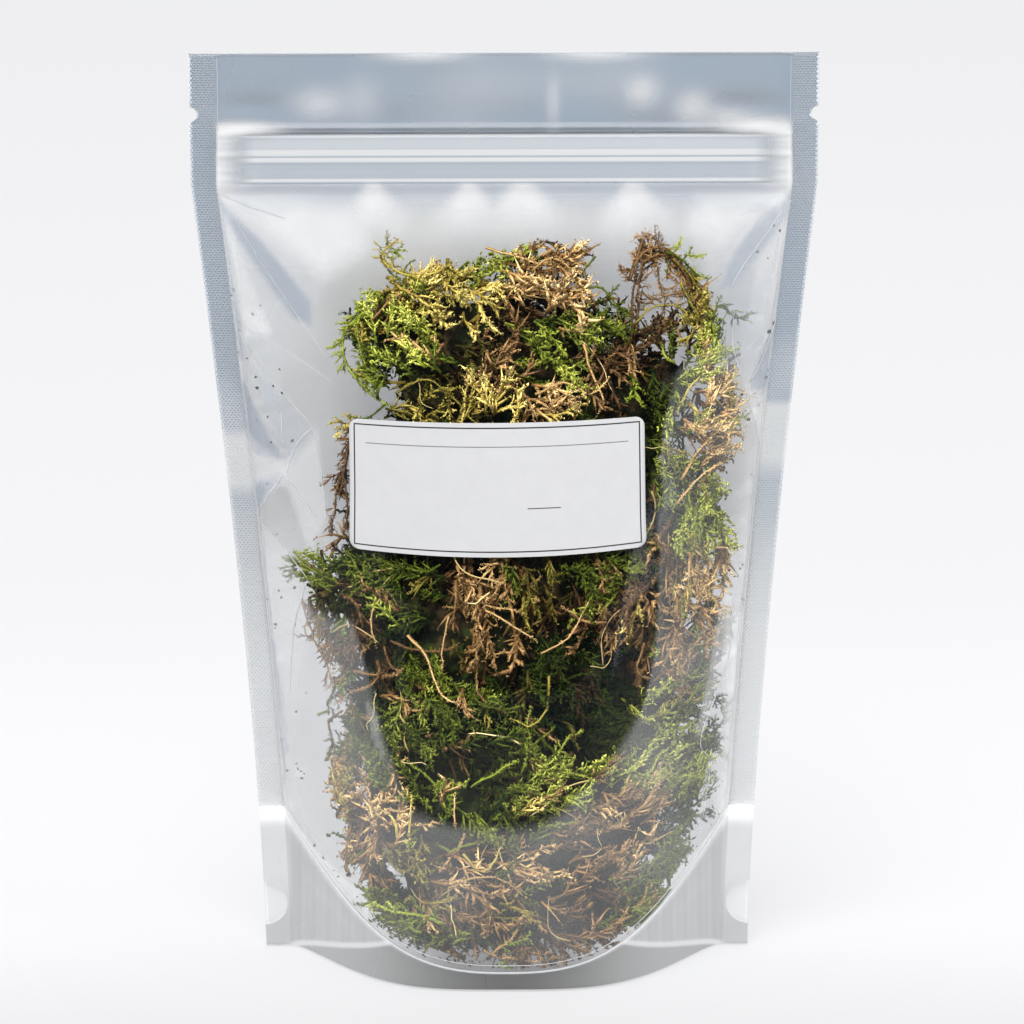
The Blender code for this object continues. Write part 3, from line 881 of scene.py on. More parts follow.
def make_bottom_film(material):
    """The folded bottom: hems on both panels and an oval floor between them."""
    w = film_columns()
    top = seal_line(w)
    hem_heights = [mix(HEM_LIFT, top, t) for t in np.linspace(0, 1, HEM_ROWS + 1)[:-1]]
    corner = inside_panel(w, top, -1)
    x, y = corner[:, 0], corner[:, 1]
    fold = FOLD_RADIUS * smoothstep((np.abs(w) - FOLD_FROM) / (1 - FOLD_FROM))
    rows = [inside_panel(w, z, -1) for z in hem_heights]
    for share in np.sin(np.linspace(-1, 1, FLOOR_ROWS) * math.pi / 2):
        z = floor_height(w, share) + fold * math.sqrt(max(1 - share**2, 0))
        crumple = 0.5 * soft_noise(x, y * share, 18, 61) * (1 - share**2)
        lift = np.maximum(crumple, 0) * smoothstep((1 - np.abs(w)) / 0.3)
        rows.append(np.stack([x, -y * share, z + lift], axis=-1))
    rows += [inside_panel(w, z, 1) for z in hem_heights[::-1]]
    points = np.array(rows)
    half = len(rows) // 2
    points[:half, :, 1] = -np.abs(points[:half, :, 1])
    points[half:, :, 1] = np.abs(points[half:, :, 1])
    uv = np.meshgrid(w / 4 + 0.5, np.linspace(0, 1, len(rows)))
    film = grid_sheet("bottom_film", points, np.stack(uv, axis=-1))
    edit_mesh(film, bpy.ops.mesh.flip_normals)
    apply_modifier(film, "SOLIDIFY", thickness=FILM * MM, offset=0)
    for side in (-1, 1):
        deselect()
        bpy.ops.mesh.primitive_cylinder_add(
            vertices=64, radius=EYE_RADIUS * MM, depth=20 * MM,
            location=(side * half_width(EYE_HEIGHT) * MM, 0, EYE_HEIGHT * MM),
            rotation=(math.pi / 2, 0, 0),
        )
        cutter = bpy.context.object
        apply_modifier(film, "BOOLEAN", operation="DIFFERENCE", object=cutter, solver="EXACT")
        bpy.data.objects.remove(cutter)
    activate(film)
    bpy.ops.object.shade_smooth_by_angle(angle=math.radians(35))
    keep(film, material, "bottom_film")


# Sharp fold lines of the front film, painted white as highlights: half thickness and the (x, z) points of the
# line.
FOLD_LINES = [
    (0.14, [(-69.2, 197.3), (-58, 180), (-45.2, 161.6)]),
    (0.12, [(-68.5, 169.7), (-58.1, 164.9), (-43.4, 155.4)]),
    (0.16, [(-65.9, 166.2), (-55.6, 151.4), (-49.1, 144)]),
    (0.14, [(-69.2, 168.4), (-65.4, 163.5), (-57.6, 150), (-56.3, 137.8)]),
    (0.14, [(-49.1, 144), (-47, 131), (-46, 120.3)]),
    (0.16, [(-49.1, 144), (-53, 139.2), (-55.6, 130.5)]),
    (0.2, [(-56.3, 130.8), (-60, 125), (-64, 117.6)]),
    (0.2, [(-56.3, 130.8), (-52, 125), (-48.1, 119.7)]),
    (0.16, [(-64.3, 118.4), (-55, 109.5), (-50.4, 104)]),
    (0.14, [(-50.4, 104), (-54, 90), (-55, 72)]),
    (0.2, [(-74.5, 203.8), (-65, 200), (-55.6, 196.8)]),
    (0.16, [(74.2, 204), (66, 192), (60.7, 184.6), (57.4, 179.2)]),
    (0.14, [(74, 200.8), (69.8, 190.5), (69, 181)]),
    (0.2, [(61.3, 151.3), (66, 161), (69.8, 169.7)]),
    (0.2, [(61.3, 151.3), (64.5, 150), (68.6, 148.6)]),
    (0.16, [(61.3, 151.3), (64, 143), (65.9, 136)]),
    (0.12, [(61.3, 151.3), (58, 163), (58.1, 172)]),
    (0.14, [(65.9, 136), (62, 112), (61, 92)]),
    (0.12, [(58, 99), (57, 82), (49.5, 61), (52, 53), (50, 37)]),
    (0.1, [(-60, 40), (-57, 52), (-59, 66)]),
]
# The pressed lines of the bottom seal, painted white as highlights: (half thickness, height above the
# seal line). Those of the side seals: (lower end, upper end).
SEAL_LINES = [(0.40, 0.3), (0.14, 2.3)]
SIDE_LINES = [(45, 203.5), (219, HEIGHT - 0.6)]
SIDE_LINE_AT = 0.99
SIDE_LINE_THICK = 0.1
LINE_POINTS = 90
FOLD_LINE_POINTS = 26
FOLD_LINE_COVER = 0.62


def make_fold_lines():
    """Painted highlights: white strands on the film's sharpest folds and the bottom seal's pressed double
    line.
    """
    growth = Growth()
    for thick, places in FOLD_LINES:
        x, z = curve_through(places, FOLD_LINE_POINTS).T
        growth.strand(*ridge_on_film(w_at(x, z), z, thick))
    for thick, above in SEAL_LINES:
        w = np.linspace(-0.985, 0.985, LINE_POINTS)
        growth.strand(*ridge_on_film(w, seal_line(w) + above, thick))
    for side in (-1, 1):
        for low, high in SIDE_LINES:
            w = np.full(LINE_POINTS, side * SIDE_LINE_AT)
            growth.strand(*ridge_on_film(w, np.linspace(low, high, LINE_POINTS), SIDE_LINE_THICK))
    finish = new_finish("fold_lines")
    # Whitish and partly see-through: painted highlights.
    white = finish.principled(Base_Color=(0.9, 0.91, 0.93), Roughness=0.25)
    material = finish.done(finish.see_through(FOLD_LINE_COVER, white, (1, 1, 1)))
    growth.piece("fold_lines", material, "clear_film", "front_film")


def ridge_on_film(w, z, thick):
    """A line of points on the outside of the front film, with its thickness and tone for a strand."""
    line = film_points(w, z, -1) + panel_normal(w, z, -1) * (FILM / 2 + thick * 0.4)
    shares = np.linspace(0, 1, len(w))
    return line, thick * np.minimum(1, 0.35 + 4 * np.minimum(shares, 1 - shares)), shares


# The label

def make_label(material):
    """A paper sheet on the front film, with round corners and a slight curl at one of them."""
    edge = 1 - 2 * LABEL_CORNER / LABEL_HEIGHT
    turns = np.linspace(0, math.pi / 2, 9)
    outer = edge + (1 - edge) * np.sin(turns)
    ups = np.concatenate([-outer[::-1], np.linspace(-edge, edge, 20)[1:-1], outer])
    shares = np.linspace(-1, 1, 61)
    share, up = np.meshgrid(shares, ups)
    corner = np.sqrt(np.maximum(1 - (np.maximum(np.abs(up) - edge, 0) / (1 - edge)) ** 2, 0))
    reach = 1 - (1 - corner) * 2 * LABEL_CORNER / LABEL_WIDTH
    share = share * reach
    x = share * LABEL_WIDTH / 2
    z = up * LABEL_HEIGHT / 2
    turned_x = x * math.cos(LABEL_TURN) - z * math.sin(LABEL_TURN)
    height = LABEL_CENTRE_Z + x * math.sin(LABEL_TURN) + z * math.cos(LABEL_TURN)
    w = w_at(LABEL_CENTRE_X + turned_x, height)
    relief = film_relief(across(w, height), height, w, -1)
    curl = 0.5 * smoothstep((-share - 0.55) / 0.45) * smoothstep((-up + 0.1) / 1.1)
    curl = curl + 0.35 * smoothstep((share - 0.8) / 0.2) * smoothstep((-up - 0.4) / 0.6)
    lift = FILM / 2 + GAP + LABEL_THICKNESS / 2 + relief + curl
    points = panel_point(w, height, -1) + panel_normal(w, height, -1) * lift[..., None]
    points[..., 1] += shared_wave(points[..., 0], height, w)
    uv = np.stack([share / 2 + 0.5, up / 2 + 0.5], axis=-1)
    label = grid_sheet("label", points, uv)
    apply_modifier(label, "SOLIDIFY", thickness=LABEL_THICKNESS * MM, offset=0)
    keep(label, material, "label")


# The moss

FILM_CLEARANCE = 0.45
SPRAYS = 1680
BACK_SHARE = 0.11
ROPES = 60
ROPE_LEAVES = 3.0
TEMPLATES = 20
SURFACE_STRAY = 2.0
TUFT_HOLLOW = 7.0
SHELL_DEPTH = 4.5
LOCK_SIZE = 11
LOCK_HOLLOW = 4.0
SWIRL = 35
STRANGERS = 0.2
SPRAY_STRAY = 0.6
SPRAY_TRIES = 5
MOST_OUTSIDE = 0.5
FILLER_INSET = 3
FILLERS = 150
LEAF_TONES = 0.16
PIECE_TRIANGLES = 180000

# The clump's left and right edges in the front view: (height, left, right), as its solid has them.
MOSS_EDGES = [
    (3, -16, 24), (12, -28, 37), (24, -36, 44), (36, -42, 50), (47, -46, 55), (60, -42, 56),
    (72, -43, 56), (86, -49, 57.5), (97, -52, 59), (106, -53, 59.3), (111, -42.5, 59.3), (122, -40, 59.3),
    (134, -39.5, 59.3), (147, -33, 59.3), (151, -31, 59), (158, -37, 58), (166, -40, 55),
    (172, -40.5, 52), (178, -33, 50), (184, -19, 48), (188, -7, 44), (191.5, 28, 41),
]

# Only single shoots stand above this line, right of the clump's top: x and the height of the line.
GAP_X = [19, 25, 33, 46, 50, 55]
GAP_Z = [180, 174, 169, 170, 176, 180]

BRIGHT = "bright_shoots"
GREEN = "green_shoots"
GOLDEN = "golden_shoots"
TAN = "tan_twigs"
BROWN = "brown_twigs"
# How each kind of shoot grows: leaves on a branchlet, their length and breadth, the number of
# branchlets and their length, how far these lean from the stem, their curl, their thickness, and how
# much they lie in two rows as in a feather.
Shape = namedtuple("Shape", "leaves leaf breadth branches reach lean curl thick feather")
KINDS = {
    BRIGHT: Shape(6, 1.22, 0.92, 11, 3.4, 52, 0.8, 0.34, 0.7),
    GREEN: Shape(6, 1.16, 0.88, 11, 3.5, 50, 0.8, 0.32, 0.8),
    GOLDEN: Shape(7, 1, 0.82, 9, 4.2, 46, 1.4, 0.4, 0.5),
    TAN: Shape(6, 1, 0.86, 9, 4.4, 48, 1.6, 0.44, 0.3),
    BROWN: Shape(6, 1, 0.84, 9, 4.4, 52, 1.7, 0.4, 0.3),
}

# The clump's tufts in the front view: x, z, half breadth, half height, kind, tone, direction of growth
# in degrees, from right over up, and how far the shoots stray from it. Tufts of the lowest tones are
# painted shade, standing for deep holes in the clump.
TUFTS = [
    (-28, 166, 11, 9, BRIGHT, 0.75, 150, 45),
    (-36, 160, 6, 9, GREEN, 0.6, 120, 40),
    (-14, 177, 12, 7, GOLDEN, 0.97, -25, 35),
    (-5, 184, 6, 4, BRIGHT, 0.8, 80, 50),
    (10, 180, 12, 7, TAN, 0.88, 20, 45),
    (-10, 166, 6, 6, BROWN, 0.05, -60, 60),
    (-1, 160, 8, 8, BROWN, 0.6, 60, 60),
    (10, 163, 8, 8, BRIGHT, 0.6, -40, 45),
    (19, 167, 7, 7, GREEN, 0.6, -20, 45),
    (-2, 151, 7, 4, GOLDEN, 0.95, 70, 50),
    (14, 152, 8, 5, TAN, 0.6, 10, 40),
    (28, 157, 8, 12, BROWN, 0.35, -80, 45),
    (-24, 152, 9, 5, GOLDEN, 0.35, -20, 50),
    (44, 176, 7, 7, BROWN, 0.9, 60, 60),
    (47, 171, 8, 7, GOLDEN, 0.5, 110, 60),
    (35, 168, 5, 6, BROWN, 0.25, 90, 30),
    (51, 161, 7, 7, BRIGHT, 0.85, 40, 50),
    (42, 150, 5, 8, GREEN, 0.3, -80, 40),
    (53, 143, 8, 11, TAN, 0.95, 30, 35),
    (42, 132, 5, 9, GREEN, 0.65, -80, 35),
    (52, 120, 8, 9, BRIGHT, 0.72, -95, 35),
    (40, 117, 6, 8, BROWN, 0.6, -90, 40),
    (52, 101, 8, 12, TAN, 0.92, -80, 40),
    (48, 84, 8, 8, TAN, 0.62, -100, 45),
    (57, 92, 5, 9, GREEN, 0.5, -70, 50),
    (-4, 103, 9, 14, TAN, 0.5, -85, 22),
    (10, 108, 6, 8, GOLDEN, 0.3, -70, 40),
    (22, 110, 7, 6, GREEN, 0.45, -30, 50),
    (30, 101, 10, 8, BROWN, 0.6, -120, 40),
    (-47, 104, 8, 4, BRIGHT, 0.45, 175, 25),
    (-44, 93, 8, 8, BROWN, 0.4, -70, 45),
    (-36, 87, 6, 6, BROWN, 0.45, -60, 45),
    (-28, 103, 10, 9, GREEN, 0.35, 170, 50),
    (-19, 78, 16, 12, GREEN, 0.42, -60, 45),
    (-30, 68, 12, 8, GREEN, 0.35, -40, 50),
    (14, 84, 12, 10, GREEN, 0.08, -50, 50),
    (24, 68, 10, 8, GREEN, 0.1, -30, 50),
    (0, 66, 12, 6, GREEN, 0.4, -10, 50),
    (40, 69, 12, 6, GREEN, 0.55, 20, 45),
    (-42, 46, 7, 10, TAN, 0.45, 110, 50),
    (-34, 58, 8, 8, GREEN, 0.4, 100, 50),
    (-32, 44, 8, 8, TAN, 0.8, 70, 50),
    (-20, 51, 8, 6, BRIGHT, 0.45, 60, 50),
    (-7, 45, 7, 7, GREEN, 0.6, -40, 50),
    (9, 53, 9, 7, GREEN, 0.97, 30, 45),
    (29, 56, 10, 7, BRIGHT, 0.8, 25, 45),
    (30, 43, 13, 7, TAN, 0.75, 35, 40),
    (46, 46, 8, 8, BRIGHT, 0.65, 60, 45),
    (-27, 32, 11, 7, GOLDEN, 0.3, -20, 55),
    (-12, 30, 9, 7, TAN, 0.75, 0, 55),
    (2, 31, 9, 7, TAN, 0.8, 30, 55),
    (19, 26, 11, 8, BROWN, 0.7, 0, 60),
    (38, 27, 9, 8, BRIGHT, 0.35, 30, 50),
    (31, 34, 8, 6, TAN, 0.7, 40, 50),
    (-14, 22, 11, 5, TAN, 0.48, -20, 55),
    (-20, 14, 12, 4, BRIGHT, 0.5, 170, 40),
    (-30, 20, 8, 6, GREEN, 0.5, -130, 50),
    (8, 12, 14, 5, TAN, 0.4, -10, 55),
    (5, 20, 10, 6, TAN, 0.45, 0, 60),
    (24, 18, 8, 6, TAN, 0.5, -20, 55),
    (36, 16, 8, 6, BRIGHT, 0.45, 50, 45),
    (-36, 34, 7, 8, TAN, 0.5, -100, 50),
]

# Single shoots that stand out in the photo: kind, tone, thickness, leaves for each millimetre, depth
# under the film and the (x, z) points of its line.
SINGLE_SHOOTS = [
    (GOLDEN, 0.55, 0.55, 2.2, 2, [(-16, 177), (-21, 181.5), (-26, 183), (-30, 185), (-31.3, 188.3)]),
    (GOLDEN, 0.5, 0.4, 2.2, 2, [(-30, 184.5), (-31.8, 187), (-30, 189.5), (-27, 191.8)]),
    (GREEN, 0.6, 0.3, 2, 2, [(-26, 183), (-24.5, 186), (-22.5, 186.5)]),
    (GREEN, 0.55, 0.3, 2, 2.5, [(-30, 184), (-28, 182), (-24, 180.5)]),
    (BRIGHT, 0.6, 0.6, 2.4, 2, [(-36, 173), (-41, 168), (-41, 161), (-36, 154.5), (-29, 150)]),
    (BRIGHT, 0.7, 0.5, 2.4, 2, [(-34, 174), (-37, 172), (-37.5, 166), (-36, 161)]),
    (BROWN, 0.8, 0.5, 0.8, 2, [(-34, 171.5), (-29, 176.5), (-24, 179), (-17, 180)]),
    (BROWN, 0.6, 0.4, 1, 2.5, [(-31, 170), (-27, 177), (-22, 181)]),
    (TAN, 0.9, 0.5, 0.8, 2, [(-5, 189.5), (-1, 188.5), (4, 187), (9, 185)]),
    (BROWN, 0.5, 0.35, 0.6, 2, [(4, 190), (5, 187), (5.5, 183)]),
    (BROWN, 0.4, 0.35, 0.6, 2, [(13.5, 189), (12, 186), (12.5, 181)]),
    (GREEN, 0.5, 0.4, 1.4, 2, [(23, 187), (20.5, 184), (18, 180)]),
    (TAN, 0.7, 0.5, 1.6, 2, [(7, 184), (12, 187), (17, 184), (19, 179)]),
    (GREEN, 0.7, 0.45, 2, 2, [(18, 179), (24, 179.5), (28, 176), (30, 170)]),
    (BROWN, 0.22, 0.6, 3, 3, [(33, 164), (32.5, 172), (33, 180), (34, 185)]),
    (BROWN, 0.3, 0.6, 3, 3.5, [(33.5, 166), (34, 174), (34.5, 181), (36, 190)]),
    (BROWN, 0.5, 0.7, 3.4, 3, [(32, 181), (34, 187), (36.5, 192), (39, 190), (41, 186)]),
    (BROWN, 0.55, 0.7, 3.4, 2.5, [(33, 184), (36, 188), (41, 188.5), (45, 184), (48, 178)]),
    (BROWN, 0.5, 0.9, 3, 3.5, [(35, 185), (40, 187), (44, 185.5), (48.5, 180), (51, 173)]),
    (GOLDEN, 0.4, 0.55, 3, 2.5, [(43, 186), (47, 182), (50, 177), (52, 170)]),
    (GOLDEN, 0.55, 0.55, 3, 2.5, [(45, 180), (48, 174), (51, 168), (51, 160)]),
    (GREEN, 0.5, 0.5, 2.4, 2, [(41, 188), (45, 186), (49, 182)]),
    (BROWN, 0.6, 0.35, 1.2, 3, [(34, 178), (38, 176), (43, 177), (47, 178)]),
    (BROWN, 0.55, 0.3, 1.2, 3, [(39, 184), (39.5, 180), (41, 176), (40, 171)]),
    (GOLDEN, 0.5, 0.35, 1.2, 3, [(33, 170), (38, 174), (44, 174), (49, 171)]),
    (BROWN, 0.4, 0.35, 0.8, 3, [(31, 184), (34, 182)]),
    (GREEN, 0.55, 0.42, 2.2, 1.5, [(53, 166), (54.2, 173.5), (57.5, 172.3), (60, 170), (63.3, 171.3)]),
    (GREEN, 0.6, 0.3, 1.5, 1.5, [(52, 160), (55.5, 163), (56.8, 167.5)]),
    (BROWN, 0.3, 0.85, 3.2, 2, [(-38, 146), (-40, 139), (-41.5, 132), (-42.5, 127)]),
    (BROWN, 0.4, 0.45, 2.4, 2, [(-41, 134), (-43, 128), (-44.3, 121), (-45.3, 116)]),
    (BROWN, 0.35, 0.4, 2.4, 2, [(-41, 130), (-40.5, 122), (-41.5, 117)]),
    (GOLDEN, 0.6, 0.6, 2.8, 2, [(-34, 146), (-39, 145), (-43, 143.5)]),
    (GREEN, 0.3, 0.4, 1.5, 2, [(-30, 151), (-35, 147), (-40, 147)]),
    (TAN, 0.95, 0.6, 1, 0.8, [(-25, 93), (-20.7, 89), (-18.5, 83.5), (-16, 78.5), (-12, 77)]),
    (TAN, 0.95, 0.32, 0.2, 0.6, [(-31.5, 103), (-34, 98), (-34.5, 94), (-33, 89)]),
    (TAN, 0.9, 0.32, 0.3, 0.6, [(-14.5, 99), (-16, 91), (-16.5, 84)]),
    (TAN, 0.95, 0.42, 0.8, 0.6, [(-5, 101), (2, 97), (8, 93)]),
    (TAN, 0.8, 0.36, 0.8, 0.6, [(9, 90), (16.5, 94), (22, 104)]),
    (GOLDEN, 0.55, 0.4, 0.8, 0.8, [(11, 84), (10.5, 76), (6.5, 71.5), (1, 73.5)]),
    (TAN, 0.85, 0.38, 0.4, 0.6, [(-15, 28.5), (-7, 31.5), (0, 30), (5, 25.5)]),
    (GOLDEN, 0.95, 0.5, 0.6, 0.6, [(-25, 42), (-24.5, 48), (-24.3, 53)]),
    (GOLDEN, 0.95, 0.6, 0.8, 0.6, [(-28, 40), (-29, 45), (-31, 47)]),
    (GOLDEN, 0.9, 0.55, 1.2, 0.6, [(-11, 38), (-6.5, 33), (-3, 36), (-0.5, 42)]),
    (TAN, 0.95, 0.4, 0.4, 0.6, [(-13, 44), (-13.3, 50), (-13, 54)]),
    (GREEN, 0.2, 0.35, 0.8, 1, [(-41, 36), (-44, 36.5), (-47, 34.5)]),
    (BRIGHT, 0.6, 0.6, 3, 0.8, [(-16, 18), (-22, 20), (-30, 20), (-36, 21)]),
    (BRIGHT, 0.5, 0.5, 2.6, 0.8, [(-22, 15), (-27, 17), (-33, 17)]),
    (GREEN, 0.55, 0.5, 2.4, 1.5, [(-44, 104), (-49, 105), (-53.5, 107), (-55, 105)]),
    (GREEN, 0.5, 0.4, 2.4, 1.5, [(-45, 101), (-50, 103), (-53, 102)]),
    (BROWN, 0.8, 0.4, 0.8, 1.5, [(-53, 97), (-50, 88), (-46, 80), (-44, 74)]),
    (BROWN, 0.5, 0.4, 1.5, 1.5, [(-42, 70), (-46, 66), (-45, 60), (-47, 55)]),
    (GREEN, 0.45, 0.35, 2, 1.5, [(-43, 78), (-46, 72), (-46, 68)]),
    (GREEN, 0.4, 0.35, 2, 1.5, [(54, 60), (57, 62), (58.5, 66)]),
    (TAN, 0.85, 0.5, 1.4, 0.8, [(45, 130), (49, 136), (54, 141), (58, 146)]),
    (TAN, 0.9, 0.45, 1.4, 0.8, [(44, 124), (50, 130), (56, 133)]),
    (BRIGHT, 0.9, 0.5, 1.8, 0.8, [(50, 112), (50, 118), (52.5, 123), (51, 128)]),
    (GOLDEN, 0.8, 0.45, 1.2, 1, [(44, 147), (47, 153), (52, 158), (57, 163)]),
    (TAN, 0.85, 0.6, 0.8, 0.8, [(20, 166), (22, 159), (25, 153), (24, 149)]),
    (TAN, 0.8, 0.5, 1.6, 0.8, [(8, 154), (15, 157), (22, 154), (27, 158)]),
]


def unit(vectors):
    return vectors / np.maximum(np.linalg.norm(vectors, axis=-1, keepdims=True), 1e-9)


class Growth:
    """Collects closed little solids: vertices, triangles, each vertex's tone and each solid's shade."""

    def __init__(self):
        self.points = []
        self.faces = []
        self.tones = []
        self.shades = []
        self.count = 0

    def add(self, points, faces, tones, shade=None):
        """Without a shade of its own, a solid's tones are used for it."""
        self.points.append(points)
        self.faces.append(np.asarray(faces) + self.count)
        self.tones.append(tones)
        self.shades.append(tones if shade is None else np.full(len(tones), shade))
        self.count += len(points)

    def strand(self, line, thick, tones):
        """A three-sided strand along a line, thinner to its far end and pointed there."""
        count = len(line)
        way = unit(np.gradient(line, axis=0))
        side = unit(np.cross(way, (0.13, 0.24, 0.96)))
        top = np.cross(side, way)
        turns = np.array([0, math.tau / 3, 2 * math.tau / 3])[:, None]
        around = side[:, None] * np.cos(turns) + top[:, None] * np.sin(turns)
        rings = line[:, None] + thick[:, None, None] * around
        points = np.concatenate([rings[:-1].reshape(-1, 3), line[-1:]])
        faces = [(0, 2, 1)]
        for k in range(count - 2):
            for i in range(3):
                a, b = 3 * k + i, 3 * k + (i + 1) % 3
                faces += [(a, b, b + 3), (a, b + 3, a + 3)]
        last = 3 * (count - 2)
        faces += [(last + i, last + (i + 1) % 3, last + 3) for i in range(3)]
        self.add(points, faces, np.append(np.repeat(tones[:-1], 3), tones[-1]))

    def leaves(self, roots, ways, sides, length, breadth, tones):
        """Leaves, each a thin closed wedge that is broadest near its middle."""
        over = unit(np.cross(ways, sides))
        left = roots + sides * breadth / 2 + ways * length * 0.45
        right = roots - sides * breadth / 2 + ways * length * 0.45
        under = roots - over * breadth * 0.25
        tips = roots + ways * length + over * length * 0.15
        points = np.stack([left, right, under, tips], axis=1).reshape(-1, 3)
        first = np.arange(len(roots))[:, None, None] * 4
        shape = np.array([(0, 1, 2), (0, 3, 1), (1, 3, 2), (2, 3, 0)])
        tone = np.stack([tones, tones, tones - 0.1, tones + 0.3], axis=1).ravel()
        self.add(points, (first + shape).reshape(-1, 3), tone)

    def arrays(self):
        return np.concatenate(self.points), np.concatenate(self.faces), np.concatenate(self.tones)

    def piece(self, name, material, slot, node):
        """Makes one piece of all the solids. Its map holds the tones and the shades."""
        points, faces, tones = self.arrays()
        corners = faces.astype(np.int32).ravel()
        mesh = bpy.data.meshes.new(name)
        mesh.vertices.add(len(points))
        mesh.vertices.foreach_set("co", flat32(points * MM))
        mesh.loops.add(len(corners))
        mesh.loops.foreach_set("vertex_index", corners)
        mesh.polygons.add(len(faces))
        mesh.polygons.foreach_set("loop_start", np.arange(0, len(corners), 3, dtype=np.int32))
        mesh.update(calc_edges=True)
        uv = np.stack([tones, np.concatenate(self.shades)], axis=1)
        mesh.uv_layers.new(name="OFBake").data.foreach_set("uv", flat32(uv[corners]))
        obj = bpy.data.objects.new(name, mesh)
        bpy.context.scene.collection.objects.link(obj)
        return keep(obj, material, node)


def leafy_strand(growth, draw, line, thick, tones, leaves, leaf, breadth):
    """A strand with leaves set round it."""
    growth.strand(line, thick, tones)
    if leaves < 1:
        return
    at = np.sort(draw.uniform(0.02, 1, leaves)) * (len(line) - 1.001)
    base = at.astype(int)
    part = (at - base)[:, None]
    roots = line[base] * (1 - part) + line[base + 1] * part
    way = unit(line[base + 1] - line[base])
    around = draw.uniform(0, math.tau, leaves)[:, None]
    side = unit(np.cross(way, (0.1, 0.2, 0.97)))
    top = np.cross(side, way)
    outward = side * np.cos(around) + top * np.sin(around)
    ways = unit(way * draw.uniform(0.5, 1.2, leaves)[:, None] + outward)
    flat = unit(np.cross(ways, way) + 1e-4)
    length = leaf * draw.uniform(0.7, 1.25, leaves)[:, None]
    tone = np.interp(at, np.arange(len(line)), tones) + draw.normal(0, LEAF_TONES, leaves)
    growth.leaves(roots, ways, flat, length, breadth, tone)


def spray(draw, leaves, leaf, breadth, branches, reach, lean, curl, thick, feather):
    """A shoot along +X, 7 to 13 long, with crooked branchlets beside or all round it, flat in z."""
    growth = Growth()
    length = draw.uniform(7, 13)
    knots = np.linspace(0, 1, 6)
    sway = draw.uniform(-1, 1, 4)
    line = np.stack([
        knots * length,
        1.1 * curl * sway[0] * np.sin(knots * 5 + sway[1] * 3) + sway[2] * 2.0 * knots**2,
        0.9 * np.sin(knots * 4 + sway[3] * 3),
    ], axis=1)
    radii = np.linspace(1.2, 0.6, 6) * thick
    leafy_strand(growth, draw, line, radii, knots * 0.6, leaves * 2, leaf, breadth)
    for k in range(branches):
        t = mix(0.05, 0.98, (k + draw.uniform(0, 0.8)) / branches)
        at = min(t * 5, 4.999)
        base = int(at)
        root = mix(line[base], line[base + 1], at - base)
        way = unit(line[base + 1] - line[base])
        roll = mix(draw.uniform(0, math.tau), math.pi * (k % 2) + draw.normal(0, 0.3), feather)
        beside = unit(np.cross((0, 0, 1), way))
        beside = beside * math.cos(roll) + np.cross(way, beside) * math.sin(roll) * 0.7
        angle = math.radians(lean + draw.normal(0, 14))
        turn = unit(way * math.cos(angle) + beside * math.sin(angle))
        size = reach * draw.uniform(0.55, 1.2) * (1.1 - 0.5 * t)
        bend = draw.normal(0, 0.4, 3) * curl + way * 0.45
        wiggle = draw.normal(0, 0.12, 3) * curl
        steps = np.array([0, 0.5, 1])[:, None]
        branch = root + size * (turn * steps + bend * 0.5 * steps**2 + wiggle * np.sin(steps * 6))
        tones = 0.15 + 0.25 * t + np.array([0, 0.25, 0.6])
        radii = np.array([1, 0.9, 0.3]) * thick
        leafy_strand(growth, draw, branch, radii, tones, leaves, leaf, breadth)
    return growth.arrays()


def film_room(x, z):
    """How far from the middle plane moss may reach at a place in the front view."""
    w = np.clip(w_at(x, z), -1, 1)
    return np.maximum(panel_offset(w, z) - FILM / 2 - FILM_CLEARANCE, 0)


def under_film(x, z, inset):
    """y of a place at some depth under the front film."""
    return -np.maximum(film_room(x, z) - inset, 0)


def kept_in_pouch(points):
    """Moves points inside the films and over the pouch's bottom."""
    z = np.clip(points[:, 2], 1.2, ZIP_LOW - 4)
    inner = (half_width(z) - SIDE_SEAL) * 0.985
    x = np.clip(points[:, 0], -inner, inner)
    room = film_room(x, z)
    y = np.clip(points[:, 1], -room, room)
    w = w_at(x, np.maximum(z, 1))
    edge = np.maximum(np.abs(panel_offset(w, seal_line(w))), 1)
    ground = floor_height(w, np.clip(y / edge, -1, 1)) + FILM / 2 + 0.8
    return np.stack([x, y, np.maximum(z, ground)], axis=1)


def outside_clump(x, z):
    """How far a place in the front view lies outside the clump's outline, or inside its open gap."""
    heights, left, right = np.array(MOSS_EDGES).T
    beside = np.maximum(np.interp(z, heights, left) - x, x - np.interp(z, heights, right))
    beyond = np.maximum(np.maximum(beside, z - heights[-1]), heights[0] - z)
    in_gap = np.minimum(z - np.interp(x, GAP_X, GAP_Z), x - GAP_X[0])
    return np.maximum(beyond, in_gap)


def clump_surface():
    """Corners of the solid clump's triangles, in millimetres, with their areas and normals."""
    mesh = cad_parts["moss_clump"].data
    mesh.calc_loop_triangles()
    points = np.array([v.co for v in mesh.vertices]) / MM
    corners = np.array([t.vertices for t in mesh.loop_triangles])
    triangles = points[corners]
    cross = np.cross(triangles[:, 1] - triangles[:, 0], triangles[:, 2] - triangles[:, 0])
    return triangles, np.linalg.norm(cross, axis=1) / 2, unit(cross)


def nearest_tuft(draw, x, z):
    """The tuft that each place belongs to, and how far it lies from the tuft's middle."""
    x, z = np.atleast_1d(x, z)
    centre = np.array([tuft[:2] for tuft in TUFTS], float)
    size = np.array([tuft[2:4] for tuft in TUFTS], float)
    apart = np.stack([x[:, None] - centre[:, 0], z[:, None] - centre[:, 1]], axis=-1) / size
    far = np.linalg.norm(apart, axis=-1)
    found = (far + draw.uniform(0, 0.35, far.shape)).argmin(axis=1)
    return found, far[np.arange(len(x)), found]


